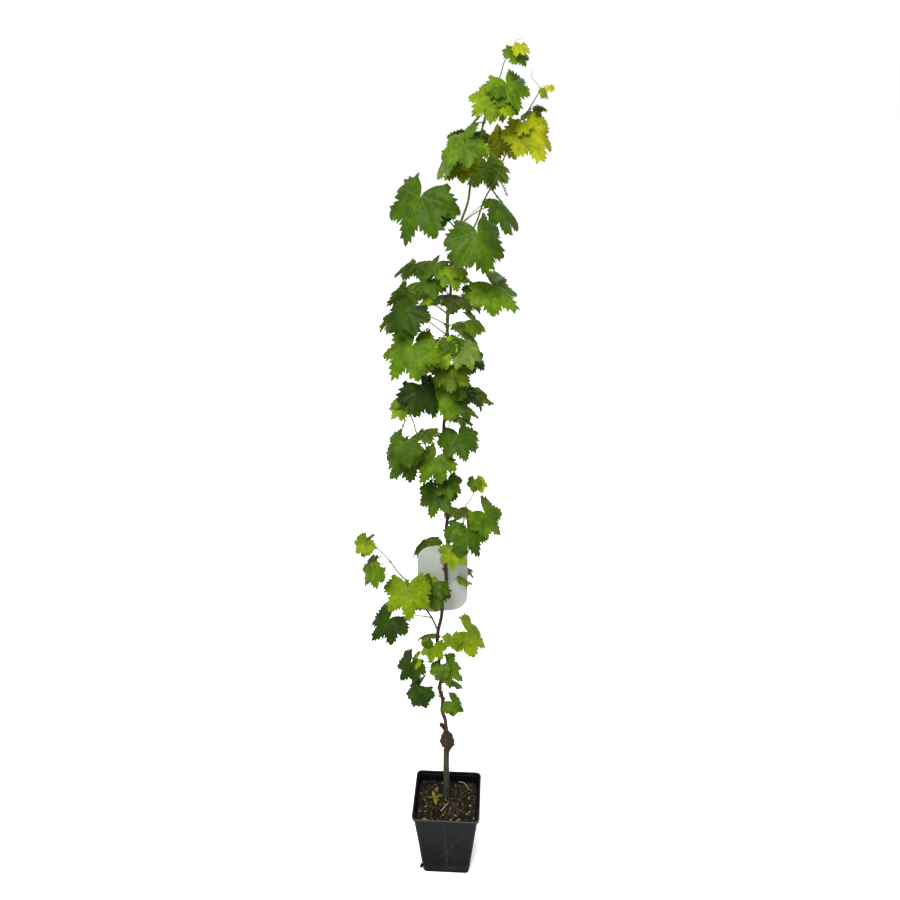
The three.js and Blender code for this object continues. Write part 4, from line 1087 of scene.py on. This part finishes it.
band = POT_HEIGHT - POT_BAND
profile = [(POT_FOOT - 0.0060, 0.0), (POT_FOOT - 0.0016, 0.0002), (POT_FOOT - 0.0002, 0.0014)]
profile += [(wall_side(z) - (0.0007 if z < 0.014 else 0.0), z) for z in (0.004, 0.0132, 0.0148, 0.03, 0.05, 0.07, 0.09, 0.11, 0.13, 0.15, 0.165, band - 0.004)]
profile += [(POT_NECK, band - 0.001), (POT_NECK + 0.0015, band), (POT_RIM - 0.0040, band + 0.0004), (POT_RIM - 0.0024, band + 0.0012), (POT_RIM - 0.0016, band + 0.0026),
            (POT_RIM - 0.0004, POT_HEIGHT - 0.0022), (POT_RIM - 0.0001, POT_HEIGHT - 0.0012), (POT_RIM - 0.0008, POT_HEIGHT - 0.0003), (POT_RIM - 0.0022, POT_HEIGHT),
            (POT_RIM - 0.0042, POT_HEIGHT - 0.0004), (POT_RIM - 0.0050, POT_HEIGHT - 0.0016), (POT_RIM - 0.0062, band + 0.0042), (POT_NECK + 0.0020, band + 0.0022), (POT_NECK - 2 * POT_WALL, band + 0.0006)]
profile += [(wall_side(z) - 2 * POT_WALL, z) for z in (band - 0.004, 0.16, 0.13, 0.10, 0.07, 0.04, 0.012, POT_FLOOR + 0.002)]
profile += [(wall_side(POT_FLOOR) - 2 * POT_WALL - 0.004, POT_FLOOR)]
rings = []
for k, (side, z) in enumerate(profile):
    ring = square_ring(side, z)
    if 3 < k < 14:   # soft moulded walls: the flats are a little uneven
        out = ring[:, :2] / np.linalg.norm(ring[:, :2], axis=1)[:, None]
        w = bumps(ring, 16, 4.0) * 0.0005
        ring[:, :2] += out * w[:, None]
    rings.append(ring)
pot_m = Nodes("pot_plastic", rough=0.55, spec=0.032)
sep = pot_m.node("ShaderNodeSeparateXYZ")
pot_m.link(pot_m.coord.outputs["Object"], sep.inputs["Vector"])
dust = pot_m.noise(60, 5, 0.65)
fine = pot_m.noise(420, 3, 0.6)
pot_c = pot_m.mix(pot_m.math("MULTIPLY", pot_m.math("SUBTRACT", dust, 0.46, True), 2.4, True), srgb(5, 6, 8), srgb(10, 11, 14))
# painted light: the front wall is lightened towards its top, where the light falls on it
high = pot_m.math("MULTIPLY", pot_m.math("SUBTRACT", sep.outputs["Z"], 0.04), 9.0, True)
pot_c = pot_m.mix(pot_m.math("MULTIPLY", high, pot_m.math("LESS_THAN", sep.outputs["Y"], -0.04)), pot_c, srgb(19, 20, 22))
# painted highlight: a light line along the top edge of the rim
lip_highlight = pot_m.math("GREATER_THAN", sep.outputs["Z"], POT_HEIGHT - 0.0016)
pot_c = pot_m.mix(lip_highlight, pot_c, srgb(56, 56, 53))


def scratch(x0, z0, x1, z1, wide, gain):
    """Mask of a scuffed line on the front wall."""
    length = math.hypot(x1 - x0, z1 - z0)
    nx, nz = -(z1 - z0) / length, (x1 - x0) / length
    tx, tz = (x1 - x0) / length, (z1 - z0) / length
    X, Z, Y = sep.outputs["X"], sep.outputs["Z"], sep.outputs["Y"]
    dx, dz = pot_m.math("SUBTRACT", X, x0), pot_m.math("SUBTRACT", Z, z0)
    wob = pot_m.math("MULTIPLY", pot_m.math("SUBTRACT", pot_m.noise(55, 2), 0.5), 0.004)
    across = pot_m.math("ABSOLUTE", pot_m.math("ADD", pot_m.math("ADD", pot_m.math("MULTIPLY", dx, nx), pot_m.math("MULTIPLY", dz, nz)), wob))
    along = pot_m.math("ADD", pot_m.math("MULTIPLY", dx, tx), pot_m.math("MULTIPLY", dz, tz))
    a = pot_m.math("SUBTRACT", 1.0, pot_m.math("MULTIPLY", across, 1 / wide), True)
    ends = pot_m.math("MULTIPLY", pot_m.math("MULTIPLY", along, 60.0, True), pot_m.math("MULTIPLY", pot_m.math("SUBTRACT", length, along), 60.0, True))
    front = pot_m.math("LESS_THAN", Y, 0.0)
    broken = pot_m.math("MULTIPLY", pot_m.math("SUBTRACT", pot_m.noise(190, 3, 0.7), 0.40, True), 3.0, True)
    return pot_m.math("MULTIPLY", pot_m.math("MULTIPLY", pot_m.math("MULTIPLY", a, ends), pot_m.math("MULTIPLY", front, gain)), broken)


marks = scratch(-0.012, 0.060, 0.044, 0.150, 0.0050, 0.42)
for args in ((-0.036, 0.030, 0.000, 0.078, 0.0045, 0.34), (-0.050, 0.118, -0.012, 0.109, 0.0012, 0.35), (0.0, 0.098, 0.016, 0.116, 0.004, 0.25), (-0.056, 0.066, -0.040, 0.058, 0.0022, 0.5)):
    marks = pot_m.math("MAXIMUM", marks, scratch(*args))
spots = pot_m.node("ShaderNodeTexVoronoi", Scale=300.0)
pot_m.link(pot_m.coord.outputs["Object"], spots.inputs["Vector"])
dots = pot_m.math("LESS_THAN", spots.outputs["Distance"], 0.26)
middle = pot_m.math("LESS_THAN", pot_m.math("ABSOLUTE", pot_m.math("SUBTRACT", sep.outputs["X"], 0.006)), 0.016)
where = pot_m.math("MULTIPLY", pot_m.math("MULTIPLY", pot_m.math("SUBTRACT", pot_m.noise(70, 2), 0.44, True), 14.0, True), middle)
low = pot_m.math("MULTIPLY", pot_m.math("LESS_THAN", sep.outputs["Z"], 0.076), pot_m.math("LESS_THAN", sep.outputs["Y"], 0.0))
marks = pot_m.math("MAXIMUM", marks, pot_m.math("MULTIPLY", pot_m.math("MULTIPLY", dots, where), pot_m.math("MULTIPLY", low, 1.0)))
pot_m.colour(pot_m.mix(marks, pot_c, srgb(52, 55, 60)))
pot_m.rough(pot_m.math("ADD", 0.40, pot_m.math("MULTIPLY", dust, 0.25)))
pot_m.bump(pot_m.math("ADD", pot_m.math("MULTIPLY", fine, 0.5), dust), 0.25, 0.0004)
pot = Piece("pot_shell", [pot_m.mat], "pot", math.radians(40))
v, f = loft(rings)
pot.add(v, f, 0)
# four feet moulded under the corners, and the drain flap at the left front edge
TURN_C, TURN_S = math.cos(POT_TURN), math.sin(POT_TURN)
turned = lambda x, y, z: np.array([x * TURN_C - y * TURN_S, x * TURN_S + y * TURN_C, z])
for sx in (-1, 1):
    for sy in (-1, 1):
        v, f = ball(turned(sx * 0.035, sy * 0.035, 0.0016), 0.011, (1, 1, 0.13), 6, 16)
        pot.add(v, f, 0)
v, f = ball(turned(-0.0570, -0.0490, 0.016), 0.0052, (0.55, 0.9, 1.0), 6, 10, (-0.5, -0.3, 1))
pot.add(v, f, 0)
v, f = ball(turned(-0.0585, -0.0495, 0.0125), 0.0034, (0.8, 0.8, 1.1), 5, 9, (-0.6, -0.2, -0.5))
pot.add(v, f, 0)
pot.make("pot")

# ---------------------------------------------------------------- soil, chips, roots
soil_mats = []
for name, c, k in (("soil_dark", srgb(16, 12, 7), 1), ("chip_brown", srgb(46, 35, 19), 1), ("chip_red", srgb(50, 33, 22), 1), ("chip_tan", srgb(90, 75, 44), 1), ("chip_pale", srgb(128, 116, 92), 1), ("grit_white", srgb(140, 134, 122), 1), ("straw", srgb(138, 132, 110), 1), ("seedling_yellow", srgb(98, 88, 16), 1), ("seedling_green", srgb(62, 68, 20), 1), ("moss", srgb(26, 36, 26), 1), ("root", srgb(88, 86, 80), 1), ("purple", srgb(38, 26, 34), 1)):
    sm = Nodes(name, rough=0.9, spec=0.10)
    sm.colour(sm.ramp(sm.noise(240, 4, 0.6), [(0.28, shade(c, 0.55)), (0.72, shade(c, 1.35))]))
    sm.bump(sm.noise(600, 4, 0.6), 0.8, 0.0008)
    soil_mats.append(sm.mat)
SOILMAT = {"dark": 0, "brown": 1, "red": 2, "tan": 3, "pale": 4, "white": 5, "straw": 6, "yellow": 7, "green": 8, "moss": 9, "root": 10, "purple": 11}
soil = Piece("soil_surface", soil_mats, "soil", math.radians(60))
inner = lambda z: wall_side(z) - 2 * POT_WALL - 0.0014


def soil_height(x, y):
    d = max(abs(x), abs(y)) / (inner(SOIL) / 2)
    h = SOIL - 0.0035 * d * d
    h += 0.0022 * noise.noise(Vector((x * 60, y * 60, 1.0))) + 0.0016 * noise.noise(Vector((x * 150, y * 150, 4.0))) + 0.0010 * noise.noise(Vector((x * 420, y * 420, 7.0)))
    return h


N = 54
grid_n = np.linspace(-1, 1, N)
side = inner(SOIL) / 2
pts, tris = [], []
for a in grid_n:
    for b in grid_n:
        x, y = a * side, b * side
        # corners drawn in to the pot's rounded square
        k = max(abs(a), abs(b))
        if abs(a) > 0.7 and abs(b) > 0.7:
            q = np.array([abs(a) - 0.7, abs(b) - 0.7]) / 0.3
            over = np.linalg.norm(q)
            if over > 1:
                q = q / over
            x, y = math.copysign((0.7 + 0.3 * q[0]) * side, a), math.copysign((0.7 + 0.3 * q[1]) * side, b)
        px, py = x * TURN_C - y * TURN_S, x * TURN_S + y * TURN_C
        pts.append((px, py, soil_height(x, y)))
idx = np.arange(N * N).reshape(N, N)
q00, q01, q10, q11 = idx[:-1, :-1].ravel(), idx[:-1, 1:].ravel(), idx[1:, :-1].ravel(), idx[1:, 1:].ravel()
tris = np.concatenate([np.stack([q00, q10, q11], 1), np.stack([q00, q11, q01], 1)])
edge = np.concatenate([idx[:, 0], idx[-1, 1:], idx[-2::-1, -1], idx[0, -2:0:-1]])
top = np.array(pts)
low_z = POT_FLOOR + 0.0006
below = top[edge].copy()
shrink = (inner(low_z) / 2) / side
below[:, :2] *= shrink
below[:, 2] = low_z
verts = np.vstack([top, below, [[0, 0, low_z]]])
e = np.arange(len(edge))
e2 = (e + 1) % len(edge)
off = N * N
wall = np.concatenate([np.stack([edge[e], edge[e2], off + e2], 1), np.stack([edge[e], off + e2, off + e], 1)])
floor_f = np.stack([off + e, off + e2, np.full(len(e), len(verts) - 1)], 1)
faces = np.concatenate([tris, wall[:, ::-1], floor_f[:, ::-1]])
cen = verts.mean(0)
tri = verts[faces]
vol = np.einsum("ij,ij->i", tri[:, 0] - cen, np.cross(tri[:, 1] - cen, tri[:, 2] - cen)).sum()
soil.add(verts, faces if vol > 0 else faces[:, ::-1], 0)
rg = np.random.default_rng(77)


def chip(x, y, size, flat, mat, lift=0.3):
    """An angular flake of bark or grit lying on the soil."""
    v, f = ball((0, 0, 0), 1.0, (1, rg.uniform(0.4, 0.8), flat), 3, rg.integers(5, 7))
    v = v * (1 + rg.uniform(-0.35, 0.35, (len(v), 1)))
    a, b, g = rg.uniform(0, 6.28), rg.uniform(-0.5, 0.5), rg.uniform(-0.5, 0.5)
    ca, sa, cb, sb, cg, sg = math.cos(a), math.sin(a), math.cos(b), math.sin(b), math.cos(g), math.sin(g)
    rot = np.array([[ca, -sa, 0], [sa, ca, 0], [0, 0, 1]]) @ np.array([[cb, 0, sb], [0, 1, 0], [-sb, 0, cb]]) @ np.array([[1, 0, 0], [0, cg, -sg], [0, sg, cg]])
    v = v * size @ rot.T
    px, py = x * TURN_C - y * TURN_S, x * TURN_S + y * TURN_C
    soil.add(v + [px, py, soil_height(x, y) + size * flat * lift], f, SOILMAT[mat])


for _ in range(900):
    x, y = rg.uniform(-0.96, 0.96, 2) * side * 0.97
    kind = rg.choice(["dark", "brown", "red", "tan", "pale", "white", "moss", "purple"], p=[0.36, 0.31, 0.10, 0.10, 0.030, 0.012, 0.050, 0.038])
    size = rg.uniform(0.0009, 0.0020) if kind in ("white", "pale") else abs(rg.normal(0.0016, 0.0014)) + 0.0009
    chip(x, y, size, rg.uniform(0.3, 0.6), kind)
for x, y, size, kind in ((-0.0489, -0.0144, 0.0034, "pale"), (0.0508, 0.0178, 0.0032, "pale"), (0.0548, 0.0411, 0.0030, "white"), (0.0532, -0.0067, 0.0042, "pale"), (0.0202, -0.0399, 0.0036, "pale"), (0.0356, -0.0021, 0.0034, "tan"),
                         (-0.0471, -0.0554, 0.0090, "tan"), (0.0253, -0.0541, 0.0055, "tan"), (0.0345, 0.0264, 0.0100, "moss"), (0.0385, 0.0180, 0.0075, "moss"), (-0.0070, -0.0379, 0.0036, "yellow"), (-0.0337, 0.0340, 0.0062, "purple"), (-0.0540, 0.0280, 0.0066, "purple"),
                         (-0.020, -0.052, 0.0050, "red"), (0.046, -0.038, 0.0056, "red"), (0.010, -0.030, 0.0040, "brown"), (-0.034, -0.036, 0.0050, "brown"), (0.052, -0.056, 0.0046, "purple")):
    chip(x, y, size, 0.36, kind, 0.6)
# straws and shreds
for pts, r, kind in (([(-0.0140, -0.0288, 0.1695), (-0.0060, -0.0180, 0.1715), (0.0034, -0.0056, 0.1705)], 0.0012, "straw"),
                     ([(0.0282, 0.0622, 0.1680), (0.0385, 0.0560, 0.1710), (0.0452, 0.0476, 0.1705), (0.0514, 0.0368, 0.1680)], 0.0008, "straw"),
                     ([(0.0222, -0.0205, 0.1690), (0.0300, -0.0280, 0.1705), (0.0380, -0.0340, 0.1680)], 0.0007, "tan"),
                     ([(-0.0580, 0.0120, 0.1670), (-0.0500, -0.0020, 0.1695), (-0.0440, -0.0120, 0.1685)], 0.0006, "tan")):
    p = smooth_path(pts, 0.004)
    v, f = tube(p, np.full(len(p), r) * (1 - 0.3 * np.linspace(0, 1, len(p))), 5)
    soil.add(v, f, SOILMAT[kind])
# thin pale roots from the stock's foot, over the front rim and down the wall
front = lambda z: -(wall_side(z) / 2)
for pts, r in (([(0.010, 0.000, 0.1695), (0.0060, -0.0200, 0.1705), (0.0005, -0.0440, 0.1715), (-0.0045, -0.0620, 0.1800), (-0.0070, -0.0727, 0.1883), (-0.0074, -0.0784, 0.1862), (-0.0072, -0.0770, 0.178), (-0.0066, front(0.16) - 0.0010, 0.160),
                 (-0.0048, front(0.12) - 0.0008, 0.120), (-0.0024, front(0.09) - 0.0008, 0.090), (0.0004, front(0.06) - 0.0008, 0.060), (0.0012, front(0.035) - 0.0008, 0.035), (0.0034, front(0.018) - 0.0008, 0.018)], 0.00014),
               ([(0.0150, -0.0060, 0.1695), (0.0150, -0.0260, 0.1705), (0.0120, -0.0460, 0.1690), (0.0106, -0.0580, 0.1690)], 0.00026),
               ([(0.0137, -0.0041, 0.1695), (0.0070, -0.0250, 0.1705), (-0.0010, -0.0460, 0.1690), (-0.0048, -0.0575, 0.1690)], 0.00026),
               ([(0.0030, 0.0100, 0.1695), (0.0230, 0.0060, 0.1710), (0.0400, -0.0040, 0.1690)], 0.00022)):
    p = smooth_path(pts, 0.004)
    v, f = tube(p, r, 5)
    soil.add(v, f, SOILMAT["root"])
# a small yellowed rosette lying on the soil
for (x0, y0, x1, y1, w, kind) in ((-0.0298, 0.0072, -0.0252, -0.0150, 0.0040, "yellow"), (-0.0298, 0.0072, -0.0472, 0.0050, 0.0034, "green"), (-0.0298, 0.0072, -0.0095, 0.0129, 0.0040, "green"), (-0.0298, 0.0072, -0.0341, 0.0263, 0.0034, "yellow"), (-0.0298, 0.0072, -0.0180, -0.0040, 0.0026, "green")):
    a, b = np.array([x0, y0]), np.array([x1, y1])
    d2 = (b - a) / np.linalg.norm(b - a)
    n2 = np.array([-d2[1], d2[0]])
    rows = []
    for u in np.linspace(0.02, 1, 7):
        m = a + (b - a) * u
        ww = w * math.sin(math.pi * min(0.98, u * 0.9 + 0.08)) ** 0.8
        z = 0.1715 + 0.004 * math.sin(u * 2.6)
        rows.append(np.array([[*(m - n2 * ww), z + 0.0008], [*m, z - 0.0002], [*(m + n2 * ww), z + 0.0008], [*m, z - 0.0008]]))
    v, f = loft(rows)
    soil.add(v, f, SOILMAT[kind])
soil.make("soil")

# ---------------------------------------------------------------- label: a blank tag bowed a little, held by a strap
lm = Nodes("label_sheet", rough=0.5, spec=0.3)
lm.colour(lm.ramp(lm.noise(22, 3), [(0.3, srgb(126, 128, 122)), (0.7, srgb(136, 138, 131))]))
lm.bump(lm.noise(40, 3), 0.15, 0.0006)
label = Piece("label_tag", [lm.mat], "label", math.radians(50))


def label_ring(scale_in, depth):
    w, h, r = LABEL_W / 2 - scale_in, LABEL_H / 2 - scale_in, max(0.002, LABEL_R - scale_in)
    pts = []
    for q, (sx, sy) in enumerate(((1, 1), (-1, 1), (-1, -1), (1, -1))):
        for k in range(9):
            a = math.radians(q * 90 + k * 90 / 8)
            pts.append((sx * (w - r) + r * math.cos(a), sy * (h - r) + r * math.sin(a)))
    p = np.array(pts)
    return place_label(p, depth)


def place_label(p, depth):
    ct, st = math.cos(LABEL_TURN), math.sin(LABEL_TURN)
    bow = depth + 0.0022 * (p[:, 0] / 0.05) ** 2
    return np.stack([LABEL_AT[0] + p[:, 0] * ct - bow * st, LABEL_AT[1] + p[:, 0] * st + bow * ct, LABEL_AT[2] + p[:, 1]], 1)


front_rings = [label_ring(k, -0.0003) for k in np.linspace(0.050, 0.0006, 12)]
back_rings = [label_ring(k, 0.0003) for k in np.linspace(0.0006, 0.050, 12)]
rim_rings = [label_ring(0.0, -0.00018), label_ring(0.0, 0.00018)]
v, f = loft(front_rings + rim_rings + back_rings)
tri = v[f]
cen = v.mean(0)
vol = np.einsum("ij,ij->i", tri[:, 0] - cen, np.cross(tri[:, 1] - cen, tri[:, 2] - cen)).sum()
label.add(v, f if vol > 0 else f[:, ::-1], 0)
# the strap: a flat band looped round the stem, and its tail down to the tag's top edge
A, d, k = at_share("stem_middle", 0.545)
loop = []
for q in range(15):
    th = math.radians(-200 + q * 310 / 14)
    ring = [A + np.array([math.cos(th) * rr, math.sin(th) * rr, dz]) for rr, dz in ((0.0050, -0.003), (0.0050, 0.003), (0.0056, 0.003), (0.0056, -0.003))]
    loop.append(np.array(ring))
v, f = loft(loop)
label.add(v, f, 0)
top_at = place_label(np.array([[0.004, LABEL_H / 2 - 0.007]]), -0.0004)[0]
tail = smooth_path([A + [0.0, 0.0050, 0.0], A * 0.5 + top_at * 0.5 + [0, 0.002, 0.001], top_at + [0, 0, 0.003], top_at], 0.003)
across = np.array([math.cos(LABEL_TURN), math.sin(LABEL_TURN), 0.0]) * 0.0026
flat = np.array([-math.sin(LABEL_TURN), math.cos(LABEL_TURN), 0.5]) * 0.0003
v, f = loft([np.array([q - across - flat, q + across - flat, q + across + flat, q - across + flat]) for q in tail])
tri = v[f]
cen = v.mean(0)
vol = np.einsum("ij,ij->i", tri[:, 0] - cen, np.cross(tri[:, 1] - cen, tri[:, 2] - cen)).sum()
label.add(v, f if vol > 0 else f[:, ::-1], 0)
label.make("label")

# ---------------------------------------------------------------- the joined sprays
for k, piece in foliage.items():
    piece.make(*[n for n in REGIONS[k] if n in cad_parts])
twigs.make()
blossom.make()
print("TRIANGLES", {k: p.faces for k, p in foliage.items()}, "twigs", twigs.faces, "buds", blossom.faces, "soil", soil.faces)

# ---------------------------------------------------------------- floor and light
me = bpy.data.meshes.new("floor")
me.from_pydata([(-40, -40, 0), (40, -40, 0), (40, 40, 0), (-40, 40, 0)], [], [(0, 1, 2, 3)])
floor = bpy.data.objects.new("floor", me)
scene.collection.objects.link(floor)
fm = Nodes("floor_paint", rough=0.9, spec=0.1)
fm.colour(fm.ramp(fm.noise(3, 2), [(0.3, (0.955, 0.955, 0.955)), (0.7, (0.965, 0.965, 0.965))]))
me.materials.append(fm.mat)

world = bpy.data.worlds.new("world")
scene.world = world
world.use_nodes = True
bg = next(n for n in world.node_tree.nodes if n.type == "BACKGROUND")
bg.inputs["Color"].default_value = (1, 1, 1, 1)
bg.inputs["Strength"].default_value = 1.05


def area(name, at, target, size, power):
    d = bpy.data.lights.new(name, "AREA")
    d.shape, d.size, d.energy = "DISK", size, power
    o = bpy.data.objects.new(name, d)
    o.location = at
    o.rotation_euler = (Vector(target) - Vector(at)).to_track_quat("-Z", "Y").to_euler()
    scene.collection.objects.link(o)


area("key", (-0.9, -2.6, 4.2), (0, 0, 0.9), 1.8, 330)
area("back", (0.8, 2.6, 3.4), (0, 0, 1.0), 2.0, 60)
scene.view_settings.view_transform = "Standard"
